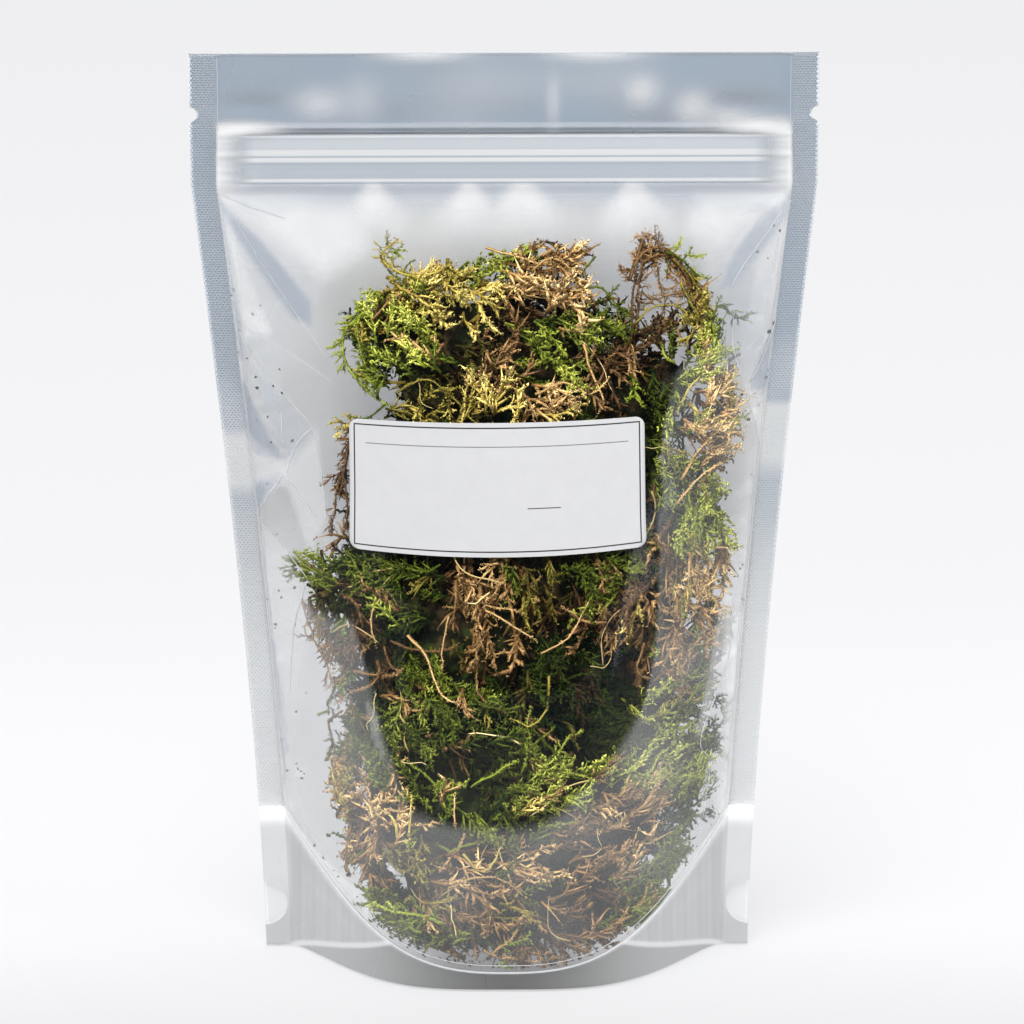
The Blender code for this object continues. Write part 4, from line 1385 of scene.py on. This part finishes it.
def lay_spray(draw, points, root, normal, direction, stray, deep):
    """Lays a spray on the clump. Of a few tries it takes the one that keeps to the outline best."""
    best = None
    for _ in range(SPRAY_TRIES):
        angle = math.radians(direction + draw.normal(0, stray))
        flat = unit(normal + np.array([0, -0.6, 0]) + draw.normal(0, 0.3, 3))
        way = np.array([math.cos(angle), 0, math.sin(angle)])
        way = unit(way - flat * (way @ flat) + flat * draw.uniform(-0.1, 0.6))
        side = np.cross(flat, way)
        local = points * draw.uniform(0.8, 1.25)
        placed = (root - flat * deep + np.outer(local[:, 0] - 4, way) + np.outer(local[:, 1], side)
                  + np.outer(local[:, 2], flat))
        stray_out = np.clip(outside_clump(placed[:, 0], placed[:, 2]) - SURFACE_STRAY, 0, None).mean()
        if best is None or stray_out < best[0]:
            best = (stray_out, placed)
        if stray_out < 0.02:
            break
    return best


def darker_inside(tones, placed, root, normal):
    """Shoots are darker the further they lie under the clump's surface: painted shade, and older growth."""
    under = (root - placed) @ normal
    return tones * (1 - 0.9 * smoothstep((under - 0.8) / 5.0))


def thickness_of_growth(place):
    """How thickly sprays stand at a place of the clump's surface."""
    x, y, z = place.T
    upper = (z > 155) & (x < 25)
    wanted = np.where(y < 4, 1.0, np.where(upper, 0.35, BACK_SHARE))
    wanted = wanted * np.where(y < -8, 1.3, 1.0)
    wanted = wanted * np.where((label_cover(x, z) > 0.99) & (y < 0), 0.3, 1.0)
    return wanted * np.where((x > 38) & (z > 85) & (y < 4), 1.4, 1.0)


def grow_moss():
    """Every spray of the clump, gathered by kind."""
    draw = np.random.default_rng(7)
    templates = {kind: [spray(draw, *shape) for _ in range(TEMPLATES)] for kind, shape in KINDS.items()}
    triangles, areas, normals = clump_surface()
    wanted = thickness_of_growth(triangles.mean(axis=1)) * areas
    chosen = draw.choice(len(areas), SPRAYS, p=wanted / wanted.sum())
    share = draw.dirichlet((1, 1, 1), SPRAYS)
    roots = (triangles[chosen] * share[:, :, None]).sum(axis=1)
    outward = normals[chosen]
    x, z = roots[:, 0], roots[:, 2]
    tufts, from_middle = nearest_tuft(draw, x, z)
    locks = soft_noise(x, z, LOCK_SIZE, 71)
    swirl = soft_noise(x, z, 16, 72)
    grown = {kind: [] for kind in KINDS}
    for k in range(SPRAYS):
        kind, tone, direction, stray = TUFTS[tufts[k]][4:]
        if draw.uniform() < STRANGERS:
            kind = draw.choice(list(KINDS))
        points, faces, tones = templates[kind][draw.integers(TEMPLATES)]
        hollow = TUFT_HOLLOW * smoothstep((from_middle[k] - 0.55) / 0.8)
        hollow += LOCK_HOLLOW * smoothstep(-locks[k] / 1.2)
        deep = (draw.uniform(0, 1) ** 1.6 * SHELL_DEPTH + hollow) * (1.2 - 0.65 * tone)
        turned = direction + SWIRL * swirl[k]
        stray_out, placed = lay_spray(draw, points, roots[k], outward[k], turned, stray * SPRAY_STRAY, deep)
        if stray_out > MOST_OUTSIDE:
            continue
        # Sprays that lie deeper are darker: painted shade.
        shade = np.clip(tone * math.exp(draw.normal(-0.05, 0.42)) - deep * 0.02, 0.01, 0.99)
        tones = darker_inside(tones, placed, roots[k], outward[k])
        grown[kind].append((kept_in_pouch(placed), faces, tones, shade))
    extra = fillers(draw, templates) + bushes(draw, templates)
    extra += [shoot_on_film(draw, *row) for row in SINGLE_SHOOTS] + ropes(draw)
    for kind, part in extra:
        grown[kind].append(part)
    return grown


def fillers(draw, templates):
    """Sprays in the middle of the clump, behind the gaps between its tufts, painted dark as shade."""
    made = []
    while len(made) < FILLERS:
        x, z = draw.uniform(-45, 56), draw.uniform(10, 186)
        if outside_clump(x, z) > -FILLER_INSET:
            continue
        kind, tone = TUFTS[nearest_tuft(draw, x, z)[0][0]][4:6]
        points, faces, tones = templates[kind][draw.integers(TEMPLATES)]
        angle = draw.uniform(0, math.tau)
        way = np.array([math.cos(angle), 0, math.sin(angle)])
        side = np.array([-way[2], 0, way[0]])
        middle = min(film_room(x, z) * 0.3, 8)
        root = np.array([x, draw.uniform(-middle, middle), z])
        placed = root + np.outer(points[:, 0] - 4, way) + np.outer(points[:, 1], side)
        placed[:, 1] += points[:, 2]
        # Painted shade: the fillers' tones darkened.
        made.append((kind, (kept_in_pouch(placed), faces, tones * 0.6, tone * 0.5)))
    return made


# Bushy arms: kind, tone, number of sprays, size of the sprays, distance that they stray from the line,
# depth under the film and the (x, z) points of the line.
BUSHY_ARMS = [
    (BROWN, 0.25, 16, 0.6, 3, 6, [(23, 158), (27, 162), (30, 166)]),
    (GREEN, 0.35, 14, 0.5, 3, 5, [(21, 166), (26, 168), (31, 165)]),
    (BROWN, 0.2, 16, 0.6, 4, 9, [(-6, 171), (1, 173), (9, 172)]),
    (GOLDEN, 0.85, 14, 0.5, 3, 2.5, [(-24, 180), (-16, 181), (-8, 179)]),
    (BROWN, 0.5, 20, 0.6, 3, 7, [(-4, 178), (6, 180), (15, 177)]),
    (TAN, 0.75, 14, 0.5, 2.5, 3, [(2, 184), (10, 185), (17, 181)]),
    (BROWN, 0.35, 13, 0.28, 0.5, 4, [(33, 163), (33.5, 170), (34, 176), (34.5, 182)]),
    (BROWN, 0.55, 26, 0.42, 1.8, 4, [(34, 180), (35.5, 184), (37, 188), (40, 186)]),
    (BROWN, 0.75, 12, 0.4, 1.2, 3, [(37.5, 184), (38, 189), (37.5, 191)]),
    (BROWN, 0.7, 30, 0.42, 2, 4, [(40, 187), (44, 183), (48, 177), (50, 170)]),
    (GOLDEN, 0.5, 24, 0.42, 2, 3, [(45, 182), (49, 176), (51, 170), (52, 163)]),
    (BRIGHT, 0.55, 12, 0.4, 1, 3, [(41, 188), (46, 185), (49, 181)]),
    (BROWN, 0.6, 14, 0.26, 0.4, 4.5, [(34, 179), (38, 176), (43, 177.5), (48, 177)]),
    (BROWN, 0.55, 10, 0.24, 0.4, 4.5, [(40, 184), (39.5, 180), (42, 176), (41, 171)]),
    (GOLDEN, 0.5, 12, 0.26, 0.5, 4.5, [(33, 171), (38, 174), (44, 173.5), (49, 171)]),
    (GREEN, 0.4, 10, 0.36, 1.2, 4, [(24, 177), (28, 175), (31, 171)]),
    (GOLDEN, 0.6, 16, 0.3, 0.4, 2.5, [(-16, 177), (-21, 181.5), (-26, 183.5), (-30, 185.5)]),
    (GOLDEN, 0.6, 8, 0.26, 0.3, 2.5, [(-30, 185), (-31.8, 188), (-30, 190), (-27, 192)]),
    (BRIGHT, 0.6, 8, 0.26, 0.5, 2.5, [(-31, 186), (-29.5, 188.5), (-28, 188)]),
    (BRIGHT, 0.6, 18, 0.36, 0.6, 2.5, [(-35, 174), (-40, 169), (-41, 161), (-37, 154.5)]),
    (GREEN, 0.55, 14, 0.24, 0.3, 2, [(53, 165), (54.2, 173), (57.5, 172.3), (60, 170), (63, 171.3)]),
    (BROWN, 0.35, 26, 0.4, 1.4, 3, [(-38, 146), (-40, 139), (-41.5, 132), (-42.5, 127)]),
    (BROWN, 0.4, 12, 0.26, 0.5, 3, [(-41, 134), (-43, 128), (-44.3, 121), (-45.3, 116)]),
    (BROWN, 0.4, 10, 0.26, 0.5, 3, [(-41, 130), (-40.8, 123), (-41.5, 118)]),
    (GOLDEN, 0.7, 10, 0.34, 0.8, 2.5, [(-35, 146), (-39, 145), (-43, 143.5)]),
    (GREEN, 0.55, 16, 0.36, 1.2, 2.5, [(-44, 104), (-49, 105), (-53.5, 106), (-55, 104)]),
    (BROWN, 0.7, 18, 0.36, 1.2, 2.5, [(-53, 97), (-50, 88), (-46, 80), (-43, 74)]),
    (GREEN, 0.45, 14, 0.32, 1, 2.5, [(-42, 76), (-45.5, 69), (-44.5, 62), (-46, 56)]),
    (GREEN, 0.5, 8, 0.3, 0.6, 2.5, [(54, 60), (57, 63), (58.5, 68)]),
    (BRIGHT, 0.55, 16, 0.42, 0.8, 1.5, [(-16, 18), (-22, 20), (-30, 20), (-36, 21)]),
]


def bushes(draw, templates):
    """Bushy arms made of small sprays along a line under the film."""
    made = []
    for kind, tone, count, size, stray, inset, places in BUSHY_ARMS:
        line = curve_through(places, 40)
        for k in range(count):
            points, faces, tones = templates[kind][draw.integers(TEMPLATES)]
            at = int(mix(0, 38, (k + draw.uniform(0, 1)) / count))
            spot = line[at] + draw.normal(0, 0.5 * stray, 2)
            way = line[at + 1] - line[at]
            angle = math.atan2(way[1], way[0]) + draw.normal(0, 0.7)
            local = points * size * draw.uniform(0.8, 1.25)
            roll = draw.uniform(0, math.tau)
            breadth = local[:, 1] * math.cos(roll) - local[:, 2] * math.sin(roll)
            outward = local[:, 1] * math.sin(roll) + local[:, 2] * math.cos(roll)
            x = spot[0] + local[:, 0] * math.cos(angle) - breadth * math.sin(angle)
            z = spot[1] + local[:, 0] * math.sin(angle) + breadth * math.cos(angle)
            y = under_film(*spot, inset + draw.uniform(0, 2.5)) + outward
            shade = np.clip(tone + draw.normal(0, 0.15), 0.01, 0.99)
            placed = np.stack([x, y, z], axis=1)
            made.append((kind, (kept_in_pouch(placed), faces, np.clip(tones + 0.15, 0, 1), shade)))
    return made


def curve_through(points, count):
    """Evenly spaced points on a smooth curve through the given ones."""
    points = np.array(points, float)
    padded = np.vstack([2 * points[0] - points[1], points, 2 * points[-1] - points[-2]])
    place = np.linspace(0, len(points) - 1.0001, count)
    k = place.astype(int)
    t = (place - k)[:, None]
    a, b, c, d = padded[k], padded[k + 1], padded[k + 2], padded[k + 3]
    return b + 0.5 * t * (c - a + t * (2 * a - 5 * b + 4 * c - d + t * (3 * (b - c) + d - a)))


def shoot_on_film(draw, kind, tone, thick, density, inset, places):
    """One long shoot, laid under the front film along a line in the front view."""
    length = np.linalg.norm(np.diff(np.array(places, float), axis=0), axis=1).sum()
    count = max(int(length / 1.6), 4)
    flat = curve_through(places, count)
    x, z = (flat + draw.normal(0, 0.12, flat.shape)).T
    line = np.stack([x, under_film(x, z, inset) + draw.normal(0, 0.15, count), z], axis=1)
    growth = Growth()
    shape = KINDS[kind]
    radii = thick * np.linspace(1, 0.35, count) * 0.9
    tones = np.linspace(0.35, 0.75, count)
    leaves = int(length * (density * 1.6 + 2))
    leafy_strand(growth, draw, line, radii, tones, leaves, shape.leaf * 0.35 + thick, shape.breadth * 0.9)
    points, faces, tones = growth.arrays()
    return kind, (kept_in_pouch(points), faces, tones, tone * 0.85)


def crooked_line(x, z, turns, step):
    """Places from (x, z) on. turns are the directions of the steps between them."""
    steps = np.stack([np.cos(turns), np.sin(turns)], axis=1) * step
    return np.vstack([(0, 0), np.cumsum(steps, axis=0)]) + (x, z)


def ropes(draw):
    """Long shoots over the clump's front, which follow their tufts."""
    made = []
    while len(made) < ROPES:
        x, z = draw.uniform(-50, 59), draw.uniform(8, 186)
        kind, tone, direction, stray = TUFTS[nearest_tuft(draw, x, z)[0][0]][4:]
        angle = math.radians(direction + draw.normal(0, stray))
        reach = draw.uniform(9, 20)
        places = crooked_line(x, z, np.cumsum(draw.normal(0, 0.45, 4)) + angle, reach / 4)
        if outside_clump(*places.T).max() > SURFACE_STRAY:
            continue
        bright = np.clip(tone + draw.uniform(-0.05, 0.3), 0.01, 0.99)
        thick = KINDS[kind].thick * draw.uniform(0.9, 1.3)
        made.append(shoot_on_film(draw, kind, bright, thick, ROPE_LEAVES, draw.uniform(0.5, 4), places))
    return made


THREADS = 30
CRUMBS = 230


def make_threads(draw):
    """Thin bare stems that lie over the moss."""
    growth = Growth()
    while len(growth.points) < THREADS:
        x, z = draw.uniform(-48, 58), draw.uniform(8, 184)
        turns = np.cumsum(draw.normal(0, 0.5, 5)) + draw.uniform(0, math.tau)
        places = crooked_line(x, z, turns, draw.uniform(1.4, 4))
        if outside_clump(*places.T).max() > 1.0:
            continue
        x, z = curve_through(places, 12).T
        line = np.stack([x, under_film(x, z, draw.uniform(0.3, 2.5)), z], axis=1)
        thread = Growth()
        thread.strand(line, np.linspace(0.24, 0.1, 12) * draw.uniform(0.7, 1.3), np.linspace(0.4, 0.9, 12))
        points, faces, tones = thread.arrays()
        growth.add(kept_in_pouch(points), faces, tones, draw.uniform(0.2, 1))
    return growth.piece("moss_threads", moss_finish("moss_threads"), "moss", "moss_clump")


def make_crumbs(draw):
    """Loose bits of soil and leaf that cling to the film, most of them along the bottom seal."""
    corners = np.array([(1, 0, 0), (0, 1, 0), (-1, 0, 0), (0, -1, 0), (0, 0, 1), (0, 0, -1)], float)
    faces = [(0, 1, 4), (1, 2, 4), (2, 3, 4), (3, 0, 4), (1, 0, 5), (2, 1, 5), (3, 2, 5), (0, 3, 5)]
    growth = Growth()
    for k in range(CRUMBS):
        if k % 10 < 7:
            w = draw.normal(0, 0.55)
            w = w if abs(w) < 0.97 else draw.uniform(-0.9, 0.9)
            z = seal_line(w) + 1.4 + abs(draw.normal(0, 2.2))
        else:
            w = draw.choice((-1, 1)) * (1 - abs(draw.normal(0.03, 0.07)))
            z = draw.uniform(30, 195)
        size = draw.uniform(0.25, 0.62) * draw.uniform(0.6, 1.2, 3)
        middle = panel_point(w, z, -1) - panel_normal(w, z, -1) * (FILM / 2 + 0.55)
        turn = draw.uniform(0, math.tau)
        spun = corners * draw.uniform(0.7, 1.3, (6, 1)) * size
        x = spun[:, 0] * math.cos(turn) - spun[:, 2] * math.sin(turn)
        up = spun[:, 0] * math.sin(turn) + spun[:, 2] * math.cos(turn)
        crumb = middle + np.stack([x, spun[:, 1] * 0.6, up], axis=1)
        growth.add(crumb, faces, np.full(6, draw.uniform(0, 1)))
    return growth.piece("moss_crumbs", moss_finish("moss_crumbs"), "moss", "moss_clump")


# Colours of each kind from its darkest shoots to its brightest: (place, base of the shoot, tips).
MOSS_COLOURS = {
    BRIGHT: [
        (0, (0.018, 0.028, 0.005), (0.09, 0.12, 0.016)),
        (0.5, (0.05, 0.07, 0.007), (0.3, 0.35, 0.04)),
        (1, (0.135, 0.165, 0.014), (0.68, 0.69, 0.14)),
    ],
    GREEN: [
        (0, (0.005, 0.01, 0.003), (0.028, 0.043, 0.006)),
        (0.5, (0.016, 0.028, 0.004), (0.14, 0.172, 0.018)),
        (1, (0.06, 0.085, 0.009), (0.46, 0.49, 0.08)),
    ],
    GOLDEN: [
        (0, (0.018, 0.016, 0.004), (0.095, 0.086, 0.016)),
        (0.5, (0.09, 0.065, 0.012), (0.43, 0.35, 0.066)),
        (1, (0.24, 0.165, 0.028), (0.93, 0.75, 0.23)),
    ],
    TAN: [
        (0, (0.035, 0.018, 0.007), (0.16, 0.093, 0.034)),
        (0.5, (0.115, 0.058, 0.019), (0.48, 0.29, 0.115)),
        (1, (0.26, 0.135, 0.042), (0.93, 0.66, 0.3)),
    ],
    BROWN: [
        (0, (0.01, 0.006, 0.003), (0.045, 0.026, 0.011)),
        (0.5, (0.05, 0.025, 0.01), (0.26, 0.143, 0.056)),
        (1, (0.135, 0.07, 0.024), (0.66, 0.405, 0.17)),
    ],
    "moss_threads": [
        (0, (0.06, 0.04, 0.016), (0.2, 0.14, 0.06)),
        (0.5, (0.2, 0.14, 0.05), (0.45, 0.33, 0.14)),
        (1, (0.42, 0.3, 0.12), (0.75, 0.6, 0.3)),
    ],
    "moss_crumbs": [
        (0, (0.01, 0.008, 0.006), (0.012, 0.01, 0.008)),
        (0.6, (0.045, 0.028, 0.016), (0.06, 0.035, 0.018)),
        (1, (0.09, 0.07, 0.03), (0.12, 0.09, 0.035)),
    ],
}


def moss_finish(kind):
    """Leafy shoots, dark at the base and bright at the tips, each shoot with its own tone."""
    finish = new_finish(kind)
    along, shoot = finish.uv()
    base, tip = (finish.ramp(shoot, [(stop[0], stop[k]) for stop in MOSS_COLOURS[kind]]) for k in (1, 2))
    colour = finish.blend(along.between(0.0, 0.95), base, tip)
    return finish.done(finish.principled(Base_Color=colour, Roughness=0.75, Specular_IOR_Level=0.15))


CORE_INSET = 9.0
CORE_BACK = 4.0
CORE_TOP = 176
CORE_TOP_RIGHT = 158
CORE_RIGHT = 46
CORE_VOXEL = 3.0


def place_vertices(mesh, points):
    mesh.vertices.foreach_set("co", flat32(points * MM))


def make_core():
    """The packed inside of the clump, a smaller copy of its solid, painted near black as shade."""
    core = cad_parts["moss_clump"].copy()
    core.data = core.data.copy()
    mesh = core.data
    core.name = "moss_core"
    mesh.name = "moss_core"
    core.parent = None
    core.hide_render = False
    core.hide_viewport = False
    for key in list(core.keys()):
        del core[key]
    bpy.context.scene.collection.objects.link(core)
    edit_mesh(core, bpy.ops.mesh.remove_doubles, threshold=0.00001)
    apply_modifier(core, "DISPLACE", strength=-CORE_INSET * MM, mid_level=0)
    apply_modifier(core, "REMESH", mode="VOXEL", voxel_size=CORE_VOXEL * MM)
    points = vertex_values(mesh, "co") / MM
    points[:, 2] = np.minimum(points[:, 2], np.where(points[:, 0] > GAP_X[0], CORE_TOP_RIGHT, CORE_TOP))
    points[:, 0] = np.minimum(points[:, 0], CORE_RIGHT)
    points[:, 1] += CORE_BACK * np.clip(points[:, 1] / 8, 0, 1)
    place_vertices(mesh, points)
    apply_modifier(core, "SMOOTH", factor=0.6, iterations=12)
    points = vertex_values(mesh, "co") / MM
    x, y, z = points.T
    lumps = 1.8 * soft_noise(x + 0.6 * y, z - 0.5 * y, 11, 77) + 0.9 * soft_noise(x - y, z + 0.4 * y, 6, 78)
    place_vertices(mesh, points + lumps[:, None] * vertex_values(mesh, "normal"))
    mesh.shade_smooth()
    finish = new_finish("moss_core")
    soil = finish.noise(finish.place(), 300, 3)
    patches = finish.noise(finish.place(), 55, 1).between(0.42, 0.58)
    # Near black: painted shade deep in the clump, over a grain of darker and paler soil.
    shaded_soil = finish.blend(patches, (0.018, 0.026, 0.006), (0.034, 0.021, 0.010))
    colour = finish.blend(soil.between(0.4, 0.65), (0.004, 0.005, 0.002), shaded_soil)
    shader = finish.principled(Base_Color=colour, Roughness=0.9, Normal=finish.bump(soil, 0.002))
    return keep(core, finish.done(shader), "moss_clump")


def make_moss():
    """All the moss, as a list of pieces."""
    pieces = []
    for kind, parts in grow_moss().items():
        finish = moss_finish(kind)
        shares = math.ceil(sum(len(part[1]) for part in parts) / PIECE_TRIANGLES)
        for k in range(shares):
            growth = Growth()
            for points, faces, tones, shade in parts[k::shares]:
                growth.add(points, faces, np.clip(tones, 0.01, 0.99), shade)
            pieces.append(growth.piece(f"{kind}_{k + 1}", finish, "moss", "moss_clump"))
    draw = np.random.default_rng(11)
    return pieces + [make_threads(draw), make_crumbs(draw), make_core()]


# Floor, light and camera

CAMERA_DISTANCE = 1.314
CAMERA_ELEVATION = math.radians(14.88)
CAMERA_AIM = Vector((0.0017, 0, 0.1186))
CAMERA_LENS = 178
CAMERA_ROLL = 0.003


def make_camera():
    back = Vector((0, -math.cos(CAMERA_ELEVATION), math.sin(CAMERA_ELEVATION)))
    right = Vector((1, 0, 0))
    up = back.cross(right)
    rolled_right = right * math.cos(CAMERA_ROLL) - up * math.sin(CAMERA_ROLL)
    rolled_up = right * math.sin(CAMERA_ROLL) + up * math.cos(CAMERA_ROLL)
    data = bpy.data.cameras.new("camera")
    data.lens = CAMERA_LENS
    data.sensor_width = 36
    data.clip_start = 0.05
    data.clip_end = 60
    camera = bpy.data.objects.new("camera", data)
    bpy.context.scene.collection.objects.link(camera)
    turn = Matrix((rolled_right, rolled_up, back)).transposed().to_4x4()
    camera.matrix_world = Matrix.Translation(CAMERA_AIM + back * CAMERA_DISTANCE) @ turn
    bpy.context.scene.camera = camera


def stage_plane(name, low, high, height, material):
    """A level plane between two corners."""
    deselect()
    bpy.ops.mesh.primitive_plane_add(size=1, location=(0, 0, 0))
    plane = bpy.context.object
    plane.name = name
    for vertex in plane.data.vertices:
        vertex.co.x = low[0] if vertex.co.x < 0 else high[0]
        vertex.co.y = low[1] if vertex.co.y < 0 else high[1]
        vertex.co.z = height
    plane.data.materials.append(material)
    return plane


def make_stage():
    floor = new_finish("studio_floor")
    y = floor.split(floor.place())[1]
    # Painted light on the floor: darker in front of the pouch, brightest near it and a little darker far
    # behind.
    white = floor.blend(y.between(-0.08, 0.02), (0.24, 0.24, 0.245), (0.33, 0.33, 0.335))
    shader = floor.principled(
        Base_Color=floor.blend(y.between(0.05, 0.4), white, (0.29, 0.29, 0.295)),
        Roughness=0.8,
        Specular_IOR_Level=0.0,
        Emission_Color=(1.0, 1.0, 1.01),
        Emission_Strength=0.55,
    )
    stage_plane("floor", (-9, -9), (9, 9), -0.0004, floor.done(shader))
    # A sweep in front that only reflections see, from white near the pouch to blue-grey.
    sweep = new_finish("front_sweep")
    y = sweep.split(sweep.place())[1]
    colour = sweep.blend(1 - y.between(-0.75, -0.36), (0.86, 0.86, 0.86), (0.30, 0.385, 0.47))
    glow = sweep.node("ShaderNodeEmission", {"Color": colour, "Strength": 1.0})
    card = stage_plane("front_card", (-2.2, -6), (2.2, -0.3), 0.0002, sweep.done(glow))
    card.visible_camera = False
    card.visible_diffuse = False
    card.visible_shadow = False
    card.visible_transmission = False


def make_world():
    """White for what the eye and the matt surfaces see. Reflections see a dark front and a grey back."""
    world = Finish(bpy.data.worlds.new("studio"))
    y = world.split(world.node("ShaderNodeTexCoord", output="Generated"))[1]
    seen = world.blend(y.between(-0.5, 0.6), (0.07, 0.08, 0.095), (0.46, 0.50, 0.55))
    glossy = world.node("ShaderNodeLightPath", output="Is Glossy Ray")
    colour = world.blend(glossy, (0.4, 0.405, 0.415), seen)
    bpy.context.scene.world = world.done(world.node("ShaderNodeBackground", {0: colour}))


KEY_STRENGTH = 2.1
KEY_FROM = (-0.12, -0.45, 0.88)
KEY_SPREAD = math.radians(40)
MOSS_KEY_STRENGTH = 7.0
MOSS_KEY_FROM = (-0.25, -0.7, 0.67)
MOSS_KEY_SPREAD = math.radians(12)


def make_lamp(name, kind, power, origin, aim, **settings):
    """A lamp that shines from origin to aim. Only softboxes show in reflections."""
    data = bpy.data.lights.new(name, kind)
    data.energy = power
    for setting, value in settings.items():
        setattr(data, setting, value)
    lamp = bpy.data.objects.new(name, data)
    lamp.location = origin
    lamp.rotation_euler = (Vector(origin) - Vector(aim)).to_track_quat("Z", "Y").to_euler()
    lamp.visible_camera = False
    lamp.visible_glossy = kind == "AREA"
    bpy.context.scene.collection.objects.link(lamp)
    return lamp


def softbox(name, power, origin, aim, width, height):
    make_lamp(name, "AREA", power, origin, aim, shape="RECTANGLE", size=width, size_y=height)


def make_lights(moss_pieces):
    """A soft key from above and softboxes, and a harder key that only the moss receives."""
    make_world()
    middle = (0, 0, 0)
    make_lamp("key", "SUN", KEY_STRENGTH, KEY_FROM, middle, angle=KEY_SPREAD)
    moss_key = make_lamp("moss_key", "SUN", MOSS_KEY_STRENGTH, MOSS_KEY_FROM, middle, angle=MOSS_KEY_SPREAD)
    receivers = bpy.data.collections.new("moss_receivers")
    for piece in moss_pieces:
        receivers.objects.link(piece)
    moss_key.light_linking.receiver_collection = receivers
    softbox("overhead", 6, (0, 0.1, 1.5), (0, 0, 0.1), 1.6, 0.9)
    softbox("right_softbox", 5, (1.15, -0.4, 0.42), (0, 0, 0.12), 0.8, 0.85)
    softbox("left_softbox", 3.2, (-1.3, -0.2, 0.35), (0, 0, 0.1), 0.5, 0.7)


# The object

make_camera()
make_panel("front_film", -1, clear_film_finish())
make_panel("back_film", 1, silver_film_finish())
make_bottom_film(bottom_film_finish())
make_fold_lines()
make_label(paper_finish())
zip_plastic = zip_finish()
for name in ("zip_socket", "zip_tongue"):
    give_finish(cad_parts[name], zip_plastic)
moss_pieces = make_moss()
make_stage()
make_lights(moss_pieces)
bpy.context.scene.view_settings.view_transform = "Standard"
